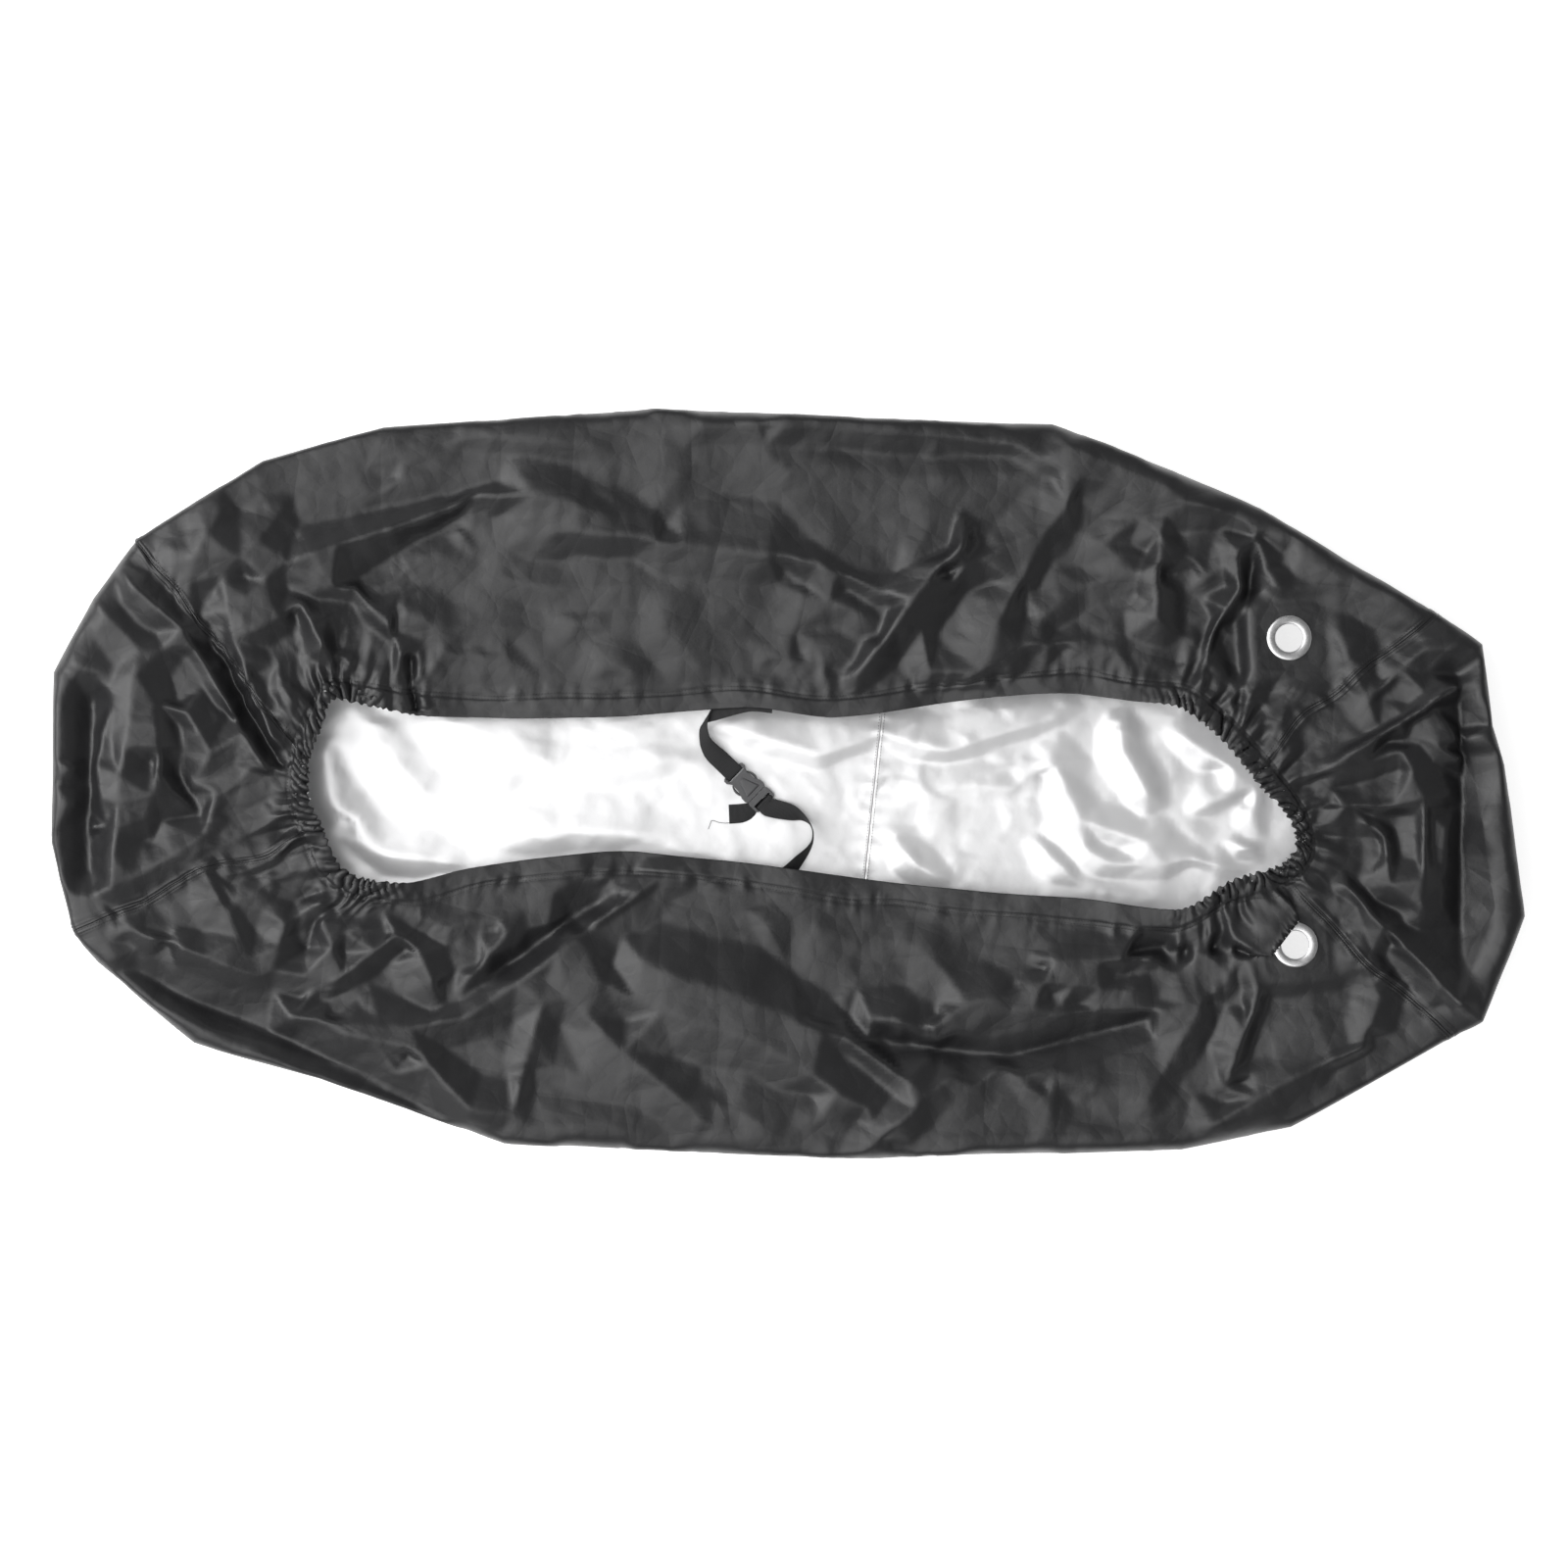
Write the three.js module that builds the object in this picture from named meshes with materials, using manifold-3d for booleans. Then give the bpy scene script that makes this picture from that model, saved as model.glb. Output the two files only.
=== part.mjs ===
// Bicycle cover of coated taffeta, lying on its roof with the open side up.
// Millimetres. X runs from the rear end to the front end, Z is up, and the floor is Z = 0.
// The cloth rests flat on the floor, rolls up at the rim all round and lies folded inwards over the
// hollow, down to the hem of the opening. Every panel is one sheet on a grid: across it u runs round
// the cover from section to section, and along it v runs from the hem, over the rim, to its floor seam.

import * as THREE from 'three';
import { mergeVertices } from 'three/addons/utils/BufferGeometryUtils.js';
import Module from 'manifold-3d';

const wasm = await Module();
wasm.setup();

// Driving dimensions
const CLOTH = 1.5; // thickness of one sheet
const HEM_EXTRA = 1.1; // what the turned hem adds
const CASING_EXTRA = 1.2; // what the elastic in its casing adds to the hem
const HEM_WIDTH = 25;
const HEM_STEP = 4; // run over which the hem thins to one sheet
const GAP = 0.3; // clearance between neighbouring pieces
const SEAM_HALF_GAP = 0.2;
const COLUMN_STEP = 33; // spacing of the grid columns along the rim
const TOP_ROWS = 8; // grid rows between the hem and the crest of the rim
const RIM_ROWS = 3; // grid rows of each quarter of the roll
const SIDE_FLOOR_ROWS = 2;
const STRIP_FLOOR_ROWS = 8;
const LOW_ROLL = 24; // how far the rim's underside is set in from the outline
const WAIST = 0.46; // height of the outline as a share of the crest
const LOWEST_TOP = 24; // the folded-in cloth never comes closer to the floor than this
const PROBE = { u: 0.12, v: 0.03 }; // steps to either side when the cloth's direction is worked out
const FLOOR_PROBE = 2;
const SEAM_PROBE = 0.05;
const SAME_PLACE = 1e-3; // points closer than this are one

const WEBBING_WIDTH = 25;
const WEBBING = 1.5;

const EYELET_OUTER = 29; // radii
const EYELET_INNER = 18;
const EYELET_BARREL = 19.6;
const EYELET_HOLE = 20.3;
const EYELET_FLANGE = 1.2;
const EYELET_WASHER_EDGE = 1;
const EYELET_EDGE = 1.5; // how far the crown's outer and inner edges are cut back
const EYELET_CROWN = 1.6; // rise of the crown above the flange
const EYELET_SHOULDER = 0.9;
const EYELET_LIP = 0.6;
const EYELET_SIDES = 32;
const PATCH_SIDE = 84;
const PATCH_TURN = 6 * Math.PI / 180;
const FLAT_RADIUS = 62; // the cloth is flat this far round an eyelet
const FLAT_BLEND = 34;
const HOLE_POST_HEIGHT = 40; // the cutting posts reach past the cloth on both sides
const PATCH_POST_HEIGHT = 120;
const EYELETS = {
  upper: { x: 647, y: 188, height: 86 },
  lower: { x: 655, y: -207, height: 84 },
};

// Sections round the cover, clockwise from the upper rear seam:
// outline x y, hem x y, height at the crest, half way and at the hem, width of the roll
const SECTION_COLUMNS = ['ox', 'oy', 'hx', 'hy', 'crest', 'middle', 'hem', 'roll'];
const SECTIONS = [
  [-841, 315, -617, 28, 92, 78, 80, 26],
  [-741, 378, -600, 74, 84, 74, 80, 26],
  [-676, 419, -586, 110, 78, 68, 76, 26],
  [-520, 461, -554, 105, 74, 60, 66, 24],
  [-410, 469, -476, 90, 72, 56, 52, 22],
  [-308, 476, -378, 86, 72, 54, 46, 20],
  [-175, 486, -206, 90, 74, 54, 44, 20],
  [-43, 481, -48, 99, 72, 54, 44, 20],
  [98, 474, 60, 86, 70, 54, 44, 20],
  [251, 469, 200, 104, 70, 56, 46, 20],
  [344, 466, 302, 116, 76, 58, 50, 20],
  [394, 447, 373, 119, 76, 60, 56, 22],
  [505, 404, 441, 110, 80, 66, 68, 24],
  [613, 357, 507, 100, 84, 72, 78, 26],
  [733, 283, 559, 60, 92, 78, 86, 28],
  [836, 221, 601, 10, 100, 84, 92, 32],
  [895, 180, 615, -8, 108, 88, 94, 36],
  [907, 75, 631, -23, 114, 88, 94, 38],
  [923, 25, 646, -42, 116, 86, 92, 38],
  [943, -123, 657, -66, 118, 86, 90, 40],
  [949, -170, 655, -86, 116, 86, 90, 40],
  [896, -306, 643, -99, 108, 84, 90, 36],
  [858, -326, 632, -107, 100, 82, 90, 32],
  [652, -444, 571, -126, 84, 72, 84, 28],
  [511, -474, 505, -164, 76, 64, 72, 26],
  [352, -479, 378, -150, 72, 58, 56, 24],
  [200, -481, 251, -141, 70, 56, 48, 24],
  [111, -486, 124, -128, 70, 54, 44, 24],
  [-86, -479, -54, -103, 70, 54, 42, 24],
  [-232, -472, -194, -89, 72, 54, 42, 24],
  [-366, -466, -308, -95, 76, 56, 46, 24],
  [-486, -423, -410, -109, 78, 60, 54, 26],
  [-601, -381, -486, -128, 82, 64, 64, 26],
  [-766, -335, -545, -123, 88, 70, 74, 28],
  [-891, -231, -578, -104, 94, 76, 80, 28],
  [-920, -190, -599, -55, 98, 80, 82, 28],
  [-948, -75, -613, -28, 104, 84, 84, 30],
  [-947, 25, -617, -10, 106, 86, 84, 30],
  [-946, 145, -617, 5, 104, 86, 84, 30],
  [-895, 240, -617, 17, 98, 82, 82, 28],
].map((row) => Object.fromEntries(SECTION_COLUMNS.map((name, i) => [name, row[i]])));

// Sections at which the four seams lie
const REAR_UPPER = 0;
const FRONT_UPPER = 15;
const FRONT_LOWER = 22;
const REAR_LOWER = 35;
const ROUND = SECTIONS.length;

// Cross seam of the strip on the floor, where it meets the two long seams
const CROSS_SEAM = { upperX: 141, lowerX: 89 };

// Folds of the folded-in cloth: height (below zero a groove), slope width left and right of the line,
// share of the line over which it rises and fades, and the line's points
const TOP_FOLDS = [
  // rear end
  [-34, 22, 22, 0.12, 0.12, [-895, 140], [-896, 0], [-899, -146]],
  [20, 34, 40, 0.1, 0.15, [-829, 173], [-854, 13], [-869, -133]],
  [24, 20, 30, 0.15, 0.3, [-810, 104], [-806, 19], [-829, -76]],
  [22, 10, 60, 0.2, 0.15, [-866, 281], [-803, 226], [-741, 174]],
  [-26, 16, 16, 0.25, 0.1, [-737, 173], [-686, 79], [-651, 22]],
  [18, 14, 22, 0.2, 0.1, [-760, 173], [-714, 89], [-666, 18]],
  [14, 18, 45, 0.3, 0.3, [-829, 175], [-741, 174]],
  [20, 30, 26, 0.1, 0.25, [-812, 104], [-773, 94], [-725, 15]],
  [-20, 26, 26, 0.3, 0.3, [-796, 38], [-755, -41]],
  [16, 24, 30, 0.2, 0.3, [-866, -132], [-788, -91], [-717, -46]],
  // upper rear corner
  [18, 26, 30, 0.25, 0.3, [-741, 377], [-730, 351], [-758, 290], [-775, 222]],
  [16, 30, 26, 0.3, 0.2, [-656, 373], [-658, 343], [-727, 267]],
  [16, 30, 30, 0.25, 0.1, [-727, 264], [-719, 224], [-645, 287]],
  [24, 36, 30, 0.1, 0.2, [-645, 287], [-511, 330], [-392, 373]],
  [22, 34, 26, 0.25, 0.2, [-712, 185], [-625, 234]],
  [26, 80, 26, 0.15, 0.15, [-625, 234], [-595, 178], [-581, 140]],
  [16, 18, 18, 0.2, 0.15, [-712, 185], [-679, 99], [-651, 23]],
  [16, 70, 12, 0.25, 0.15, [-643, 258], [-556, 250], [-509, 203], [-483, 127]],
  [12, 14, 30, 0.2, 0.2, [-595, 178], [-565, 154], [-519, 140]],
  // upper middle
  [18, 60, 36, 0.25, 0.35, [-404, 371], [-326, 376], [-206, 343]],
  [20, 36, 48, 0.2, 0.2, [-363, 326], [-199, 319], [45, 287], [125, 251]],
  [10, 28, 40, 0.3, 0.2, [-13, 259], [125, 211]],
  [12, 40, 40, 0.3, 0.3, [-194, 257], [-110, 241]],
  [12, 34, 34, 0.3, 0.2, [-191, 224], [-130, 175], [-95, 124]],
  [32, 26, 52, 0.08, 0.2, [248, 334], [162, 239], [76, 119]],
  [16, 18, 14, 0.2, 0.2, [253, 315], [176, 203]],
  [16, 46, 22, 0.1, 0.2, [176, 203], [192, 119]],
  [18, 20, 34, 0.2, 0.2, [322, 295], [289, 229], [251, 147]],
  [14, 40, 26, 0.15, 0.4, [248, 140], [302, 179], [441, 188]],
  [16, 30, 26, 0.15, 0.2, [255, 287], [294, 258]],
  // upper front corner
  [14, 34, 34, 0.15, 0.25, [328, 417], [384, 394], [551, 353]],
  [14, 34, 34, 0.15, 0.3, [384, 394], [337, 330], [255, 290]],
  [14, 26, 26, 0.25, 0.3, [328, 419], [363, 434], [619, 330]],
  [24, 28, 34, 0.12, 0.2, [482, 323], [477, 178]],
  [28, 38, 30, 0.1, 0.2, [581, 302], [585, 254], [551, 193], [540, 147]],
  [18, 34, 16, 0.15, 0.25, [613, 282], [639, 236], [680, 203]],
  [-16, 12, 12, 0.2, 0.2, [604, 320], [596, 254], [586, 178], [582, 70]],
  [14, 36, 36, 0.2, 0.2, [632, 324], [784, 239], [825, 203]],
  [14, 18, 20, 0.15, 0.25, [683, 183], [723, 157], [749, 102]],
  // front end
  [-34, 40, 34, 0.12, 0.12, [863, 140], [871, -25], [866, -254]],
  [28, 40, 34, 0.1, 0.2, [862, 130], [759, 61], [685, 15]],
  [12, 30, 30, 0.3, 0.2, [895, 179], [816, 173], [759, 121]],
  [18, 26, 26, 0.15, 0.2, [789, 43], [821, -18], [815, -159]],
  [14, 18, 18, 0.15, 0.25, [647, 0], [784, 41]],
  [18, 20, 26, 0.1, 0.2, [683, -30], [816, -28]],
  [18, 26, 26, 0.2, 0.2, [728, -30], [765, -71], [779, -127], [817, -157]],
  // lower front corner
  [24, 16, 50, 0.1, 0.1, [722, -131], [817, -235], [883, -302]],
  [16, 22, 30, 0.1, 0.2, [688, -206], [770, -248]],
  [16, 30, 34, 0.15, 0.15, [770, -248], [740, -338], [637, -386], [525, -457]],
  [20, 12, 50, 0.1, 0.2, [619, -231], [571, -378]],
  [12, 26, 30, 0.15, 0.2, [591, -226], [533, -292], [464, -406]],
  [-22, 14, 14, 0.2, 0.15, [454, -218], [614, -208]],
  [16, 18, 18, 0.2, 0.2, [312, -232], [467, -224]],
  [14, 22, 26, 0.15, 0.3, [294, -251], [479, -272]],
  // lower middle
  [-22, 16, 20, 0.15, 0.15, [-217, -137], [-308, -198], [-387, -249]],
  [18, 40, 18, 0.15, 0.2, [-166, -122], [-293, -218], [-410, -300]],
  [16, 30, 30, 0.15, 0.2, [-286, -190], [-308, -250]],
  [18, 36, 28, 0.15, 0.2, [-266, -193], [-237, -254], [-194, -279]],
  [22, 30, 46, 0.1, 0.2, [-220, -218], [-55, -277], [83, -330], [180, -401]],
  [18, 30, 46, 0.15, 0.15, [-194, -279], [-31, -338], [100, -415]],
  [16, 60, 24, 0.1, 0.3, [-307, -250], [-364, -460]],
  [16, 30, 60, 0.1, 0.25, [-307, -250], [-111, -437]],
  [18, 24, 30, 0.15, 0.2, [117, -461], [214, -375]],
  [18, 22, 26, 0.12, 0.3, [110, -305], [186, -316], [232, -284], [337, -257]],
  [-20, 26, 26, 0.2, 0.2, [88, -328], [200, -343], [289, -356], [467, -305]],
  [12, 30, 40, 0.2, 0.3, [195, -333], [285, -293], [378, -284]],
  // lower rear corner
  [20, 34, 22, 0.15, 0.15, [-841, -187], [-681, -246]],
  [16, 30, 22, 0.15, 0.15, [-749, -112], [-686, -222], [-680, -248]],
  [18, 26, 20, 0.15, 0.15, [-643, -152], [-660, -239]],
  [16, 26, 20, 0.2, 0.15, [-660, -241], [-581, -251], [-506, -196]],
  [18, 18, 24, 0.1, 0.15, [-604, -123], [-600, -178], [-570, -241]],
  [20, 24, 24, 0.15, 0.15, [-506, -196], [-471, -224], [-440, -287]],
  [16, 26, 34, 0.15, 0.2, [-636, -297], [-485, -314], [-412, -298], [-308, -246]],
  [18, 50, 34, 0.1, 0.15, [-639, -300], [-496, -337], [-460, -362], [-384, -447]],
  [-24, 20, 20, 0.12, 0.12, [-869, -229], [-765, -279], [-638, -330], [-537, -381], [-420, -442]],
].map(foldFrom);

// Low folds of the strip where it lies on the floor
const FLOOR_FOLDS = [
  [12, 50, 50, 0.2, 0.2, [-600, 0], [-460, 74]],
  [10, 45, 45, 0.3, 0.3, [-486, -102], [-308, 0]],
  [12, 40, 40, 0.2, 0.2, [-308, -76], [-150, 38]],
  [13, 40, 30, 0.2, 0.2, [441, 83], [479, -76]],
  [10, 40, 40, 0.2, 0.3, [264, -71], [403, -89], [568, -102]],
  [12, 34, 34, 0.2, 0.2, [524, -57], [594, 10]],
  [10, 40, 40, 0.3, 0.3, [162, 51], [327, 83]],
].map(foldFrom);

// Stretches of the hem that the elastic draws into pleats, from section to section
const GATHERS = [
  { from: -8.2, to: 4.4 },
  { from: 12.2, to: 24.4 },
];
const PLEAT_PITCH = 26; // along the hem
const PLEAT_HEIGHT = 6;
const PLEAT_REACH = 130;

function foldFrom([height, left, right, rise, fade, ...points]) {
  const lengths = points.slice(1).map((p, i) => Math.hypot(p[0] - points[i][0], p[1] - points[i][1]));
  return { height, left, right, rise, fade, points, lengths, total: lengths.reduce((a, b) => a + b) };
}

const TIP_WIDTH = 0.35; // a fold's width at its tips, as a share of its full width

const mix = (a, b, t) => a + (b - a) * t;
const clamp = (t, low, high) => Math.min(high, Math.max(low, t));
const smooth = (t) => {
  const s = clamp(t, 0, 1);
  return s * s * (3 - 2 * s);
};

// Height of one fold at a place: a tent along its line, tapered at both ends
function foldHeight(fold, x, y) {
  let nearest = Infinity;
  let along = 0;
  let side = 1;
  let walked = 0;
  for (let i = 0; i < fold.lengths.length; i += 1) {
    const [ax, ay] = fold.points[i];
    const [bx, by] = fold.points[i + 1];
    const length = fold.lengths[i];
    const dx = (bx - ax) / length;
    const dy = (by - ay) / length;
    const s = clamp((x - ax) * dx + (y - ay) * dy, 0, length);
    const away = Math.hypot(x - ax - dx * s, y - ay - dy * s);
    if (away < nearest) {
      nearest = away;
      along = (walked + s) / fold.total;
      side = dx * (y - ay) - dy * (x - ax);
    }
    walked += length;
  }
  const taper = Math.min(1, along / fold.rise, (1 - along) / fold.fade);
  const width = (side > 0 ? fold.left : fold.right) * mix(TIP_WIDTH, 1, taper);
  const slope = Math.max(0, 1 - nearest / width);
  return fold.height * taper * slope;
}

// Ridges stand as the highest of their tents, and the deepest groove is taken from them
function relief(folds, x, y) {
  const heights = folds.map((fold) => foldHeight(fold, x, y));
  return Math.max(0, ...heights) + Math.min(0, ...heights);
}

// The section at any u, between the rows of the table
function section(u) {
  const whole = Math.floor(u);
  const a = SECTIONS[((whole % ROUND) + ROUND) % ROUND];
  const b = SECTIONS[(((whole + 1) % ROUND) + ROUND) % ROUND];
  const here = {};
  for (const name of SECTION_COLUMNS) here[name] = mix(a[name], b[name], u - whole);
  const span = Math.hypot(here.hx - here.ox, here.hy - here.oy);
  here.dx = (here.hx - here.ox) / span;
  here.dy = (here.hy - here.oy) / span;
  here.span = span - here.roll;
  return here;
}

const contact = (u) => {
  const s = section(u);
  return [s.ox + s.dx * LOW_ROLL, s.oy + s.dy * LOW_ROLL];
};

// Length of the outline between two sections, to spread the floor seams evenly
function outlineLength(from, to) {
  const steps = 64;
  let length = 0;
  for (let i = 0; i < steps; i += 1) {
    const a = section(mix(from, to, i / steps));
    const b = section(mix(from, to, (i + 1) / steps));
    length += Math.hypot(b.ox - a.ox, b.oy - a.oy);
  }
  return length;
}

const onSeam = (from, to, x) => {
  const [ax, ay] = contact(from);
  const [bx, by] = contact(to);
  return [x, mix(ay, by, (x - ax) / (bx - ax))];
};
const CROSS_UPPER = onSeam(REAR_UPPER, FRONT_UPPER, CROSS_SEAM.upperX);
const CROSS_LOWER = onSeam(REAR_LOWER, FRONT_LOWER, CROSS_SEAM.lowerX);

// The four pieces of cloth: the sections they span, and the floor seam they run down to
const PANELS = {
  side_upper: {
    from: REAR_UPPER, to: FRONT_UPPER,
    ends: [contact(REAR_UPPER), contact(FRONT_UPPER)], floorRows: SIDE_FLOOR_ROWS,
  },
  strip_front: {
    from: FRONT_UPPER, to: FRONT_LOWER,
    ends: [CROSS_UPPER, CROSS_LOWER], floorRows: STRIP_FLOOR_ROWS,
  },
  side_lower: {
    from: FRONT_LOWER, to: REAR_LOWER,
    ends: [contact(FRONT_LOWER), contact(REAR_LOWER)], floorRows: SIDE_FLOOR_ROWS,
  },
  strip_rear: {
    from: REAR_LOWER, to: REAR_UPPER + ROUND,
    ends: [CROSS_LOWER, CROSS_UPPER], floorRows: STRIP_FLOOR_ROWS,
  },
};

function floorEnd(panel, u) {
  const share = outlineLength(panel.from, u) / outlineLength(panel.from, panel.to);
  const t = clamp(u <= panel.from ? 0 : share, 0, 1);
  return [mix(panel.ends[0][0], panel.ends[1][0], t), mix(panel.ends[0][1], panel.ends[1][1], t)];
}

// How far u is into a gathered stretch: 0 outside, rising to 1 inside
function gathered(u) {
  const strengths = GATHERS.flatMap((gather) => [-ROUND, 0, ROUND].map((turn) => (
    Math.min(u + turn - gather.from, gather.to - u - turn))));
  return smooth(Math.max(...strengths));
}

// Length along the hem from section 0
const HEM_LENGTHS = SECTIONS.reduce((sums, row, i) => {
  const next = SECTIONS[(i + 1) % SECTIONS.length];
  return [...sums, sums[i] + Math.hypot(next.hx - row.hx, next.hy - row.hy)];
}, [0]);

function hemLength(u) {
  const turned = ((u % ROUND) + ROUND) % ROUND;
  const whole = Math.floor(turned);
  return mix(HEM_LENGTHS[whole], HEM_LENGTHS[whole + 1], turned - whole);
}

// Pleats stand highest at the hem and run out towards the rim
function pleatHeight(u, inset) {
  const wave = Math.cos(2 * Math.PI * hemLength(u) / PLEAT_PITCH);
  return PLEAT_HEIGHT * gathered(u) * wave * smooth(1 - inset / PLEAT_REACH);
}

// Height of the folded-in cloth at a share f of the way from the crest (0) to the hem (1)
function topHeight(u, s, f, x, y) {
  const bow = s.middle - (s.crest + s.hem) / 2;
  let z = mix(s.crest, s.hem, f) + 4 * bow * f * (1 - f);
  z += relief(TOP_FOLDS, x, y) + pleatHeight(u, (1 - f) * s.span);
  for (const eyelet of Object.values(EYELETS)) {
    const away = Math.hypot(x - eyelet.x, y - eyelet.y);
    z = mix(eyelet.height, z, smooth((away - FLAT_RADIUS) / FLAT_BLEND));
  }
  return Math.max(z, LOWEST_TOP);
}

// Outer face of the cloth: v is 0 at the hem, 1 at the crest, 2 at the outline,
// 3 where the rim meets the floor and 4 at the floor seam
function place(panel, u, v) {
  const s = section(u);
  if (v <= 1) {
    const inset = s.roll + s.span * (1 - v);
    const x = s.ox + s.dx * inset;
    const y = s.oy + s.dy * inset;
    return new THREE.Vector3(x, y, topHeight(u, s, 1 - v, x, y));
  }
  const waist = s.crest * WAIST;
  if (v <= 2) {
    const angle = (v - 1) * Math.PI / 2;
    const inset = s.roll * (1 - Math.sin(angle));
    const x = s.ox + s.dx * inset;
    const y = s.oy + s.dy * inset;
    return new THREE.Vector3(x, y, mix(waist, topHeight(u, s, 0, x, y), Math.cos(angle)));
  }
  if (v <= 3) {
    const angle = (v - 2) * Math.PI / 2;
    const inset = LOW_ROLL * (1 - Math.cos(angle));
    return new THREE.Vector3(s.ox + s.dx * inset, s.oy + s.dy * inset, waist * (1 - Math.sin(angle)));
  }
  const [cx, cy] = contact(u);
  const [ex, ey] = floorEnd(panel, u);
  const x = mix(cx, ex, v - 3);
  const y = mix(cy, ey, v - 3);
  return new THREE.Vector3(x, y, relief(FLOOR_FOLDS, x, y));
}

// Outward direction of the cloth, from the places just beside this one
function outward(panel, u, v) {
  if (v >= 3) {
    const { x, y } = place(panel, u, v);
    const step = FLOOR_PROBE;
    const slopeX = (relief(FLOOR_FOLDS, x + step, y) - relief(FLOOR_FOLDS, x - step, y)) / (2 * step);
    const slopeY = (relief(FLOOR_FOLDS, x, y + step) - relief(FLOOR_FOLDS, x, y - step)) / (2 * step);
    return new THREE.Vector3(slopeX, slopeY, -1).normalize();
  }
  const along = place(panel, u + PROBE.u, v).sub(place(panel, u - PROBE.u, v));
  const inward = place(panel, u, Math.max(0, v - PROBE.v)).sub(place(panel, u, Math.min(3, v + PROBE.v)));
  return inward.cross(along).normalize();
}

function thickness(u, inset) {
  const hem = HEM_EXTRA + CASING_EXTRA * gathered(u);
  return CLOTH + hem * clamp(1 - (inset - HEM_WIDTH) / HEM_STEP, 0, 1);
}

// Columns fall on every section, with even steps between
function columnsOf(panel) {
  const columns = [];
  for (let i = panel.from; i < panel.to; i += 1) {
    const steps = Math.max(1, Math.round(outlineLength(i, i + 1) / COLUMN_STEP));
    for (let k = 0; k < steps; k += 1) columns.push(i + k / steps);
  }
  columns.push(panel.to);
  return columns;
}

// Rows: hem, stitching, thinned hem, then evenly to the crest, round the roll and over the floor
function rowsOf(u, floorRows) {
  const span = section(u).span;
  const rows = [0, HEM_WIDTH / span, (HEM_WIDTH + HEM_STEP) / span];
  const start = rows[2];
  for (let i = 1; i <= TOP_ROWS; i += 1) rows.push(mix(start, 1, i / TOP_ROWS));
  for (let i = 1; i <= 2 * RIM_ROWS; i += 1) rows.push(1 + i / RIM_ROWS);
  for (let i = 1; i <= floorRows; i += 1) rows.push(3 + i / floorRows);
  return rows;
}

// A grid of outer points and outward directions, pulled back a little from the seams
function panelGrid(panel) {
  const columns = columnsOf(panel);
  return columns.map((u, c) => {
    const rows = rowsOf(u, panel.floorRows);
    return rows.map((v) => {
      const point = place(panel, u, v);
      const normal = outward(panel, u, v);
      const edge = c === 0 ? 1 : (c === columns.length - 1 ? -1 : 0);
      if (edge !== 0) {
        const beside = place(panel, u + edge * SEAM_PROBE, v).sub(point);
        if (beside.length() > 0) point.add(beside.normalize().multiplyScalar(SEAM_HALF_GAP));
      }
      if (v === 4) {
        const back = place(panel, u, 3).sub(point);
        if (back.length() > 1) point.add(back.normalize().multiplyScalar(SEAM_HALF_GAP));
      }
      const depth = thickness(u, v < 1 ? v * section(u).span : Infinity);
      return { point, normal, depth };
    });
  });
}

// A closed sheet on a grid, between two depths below its outer points
function sheet(grid, topDepth, bottomDepth) {
  const positions = [];
  const rows = grid[0].length;
  const at = (c, r, depth) => {
    const cell = grid[c][r];
    return cell.point.clone().addScaledVector(cell.normal, -depth(cell));
  };
  // A flipped quad keeps its diagonal, so that two pieces match where they meet at a seam
  const quad = (a, b, c, d, flip = false) => {
    for (const p of flip ? [a, b, c, a, c, d] : [a, c, b, a, d, c]) positions.push(p.x, p.y, p.z);
  };
  for (let c = 0; c + 1 < grid.length; c += 1) {
    for (let r = 0; r + 1 < rows; r += 1) {
      quad(at(c, r, topDepth), at(c, r + 1, topDepth), at(c + 1, r + 1, topDepth), at(c + 1, r, topDepth));
      quad(at(c, r, bottomDepth), at(c + 1, r, bottomDepth), at(c + 1, r + 1, bottomDepth),
        at(c, r + 1, bottomDepth));
    }
    for (const [r, flip] of [[0, false], [rows - 1, true]]) {
      quad(at(c, r, topDepth), at(c + 1, r, topDepth), at(c + 1, r, bottomDepth),
        at(c, r, bottomDepth), flip);
    }
  }
  for (let r = 0; r + 1 < rows; r += 1) {
    for (const [c, flip] of [[0, true], [grid.length - 1, false]]) {
      quad(at(c, r, topDepth), at(c, r + 1, topDepth), at(c, r + 1, bottomDepth),
        at(c, r, bottomDepth), flip);
    }
  }
  return welded(positions);
}

// Shared vertices merged, and triangles without area left out
function welded(positions) {
  const loose = new THREE.BufferGeometry();
  loose.setAttribute('position', new THREE.Float32BufferAttribute(positions, 3));
  const merged = mergeVertices(loose, SAME_PLACE);
  const index = [];
  const old = merged.index.array;
  for (let i = 0; i < old.length; i += 3) {
    const [a, b, c] = [old[i], old[i + 1], old[i + 2]];
    if (a !== b && b !== c && c !== a) index.push(a, b, c);
  }
  merged.setIndex(index);
  return merged;
}

function solidOf(geometry) {
  const bare = geometry.clone();
  bare.deleteAttribute('normal');
  bare.deleteAttribute('uv');
  const merged = mergeVertices(bare, SAME_PLACE);
  const vertProperties = new Float32Array(merged.attributes.position.array);
  const triVerts = new Uint32Array(merged.index.array);
  return new wasm.Manifold(new wasm.Mesh({ numProp: 3, vertProperties, triVerts }));
}

function geometryOf(solid) {
  const mesh = solid.getMesh();
  const geometry = new THREE.BufferGeometry();
  geometry.setAttribute('position', new THREE.Float32BufferAttribute(mesh.vertProperties, 3));
  geometry.setIndex(Array.from(mesh.triVerts));
  return geometry;
}

function upright(shape, depth, z) {
  return new THREE.ExtrudeGeometry(shape, { depth, bevelEnabled: false }).translate(0, 0, z);
}

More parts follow.
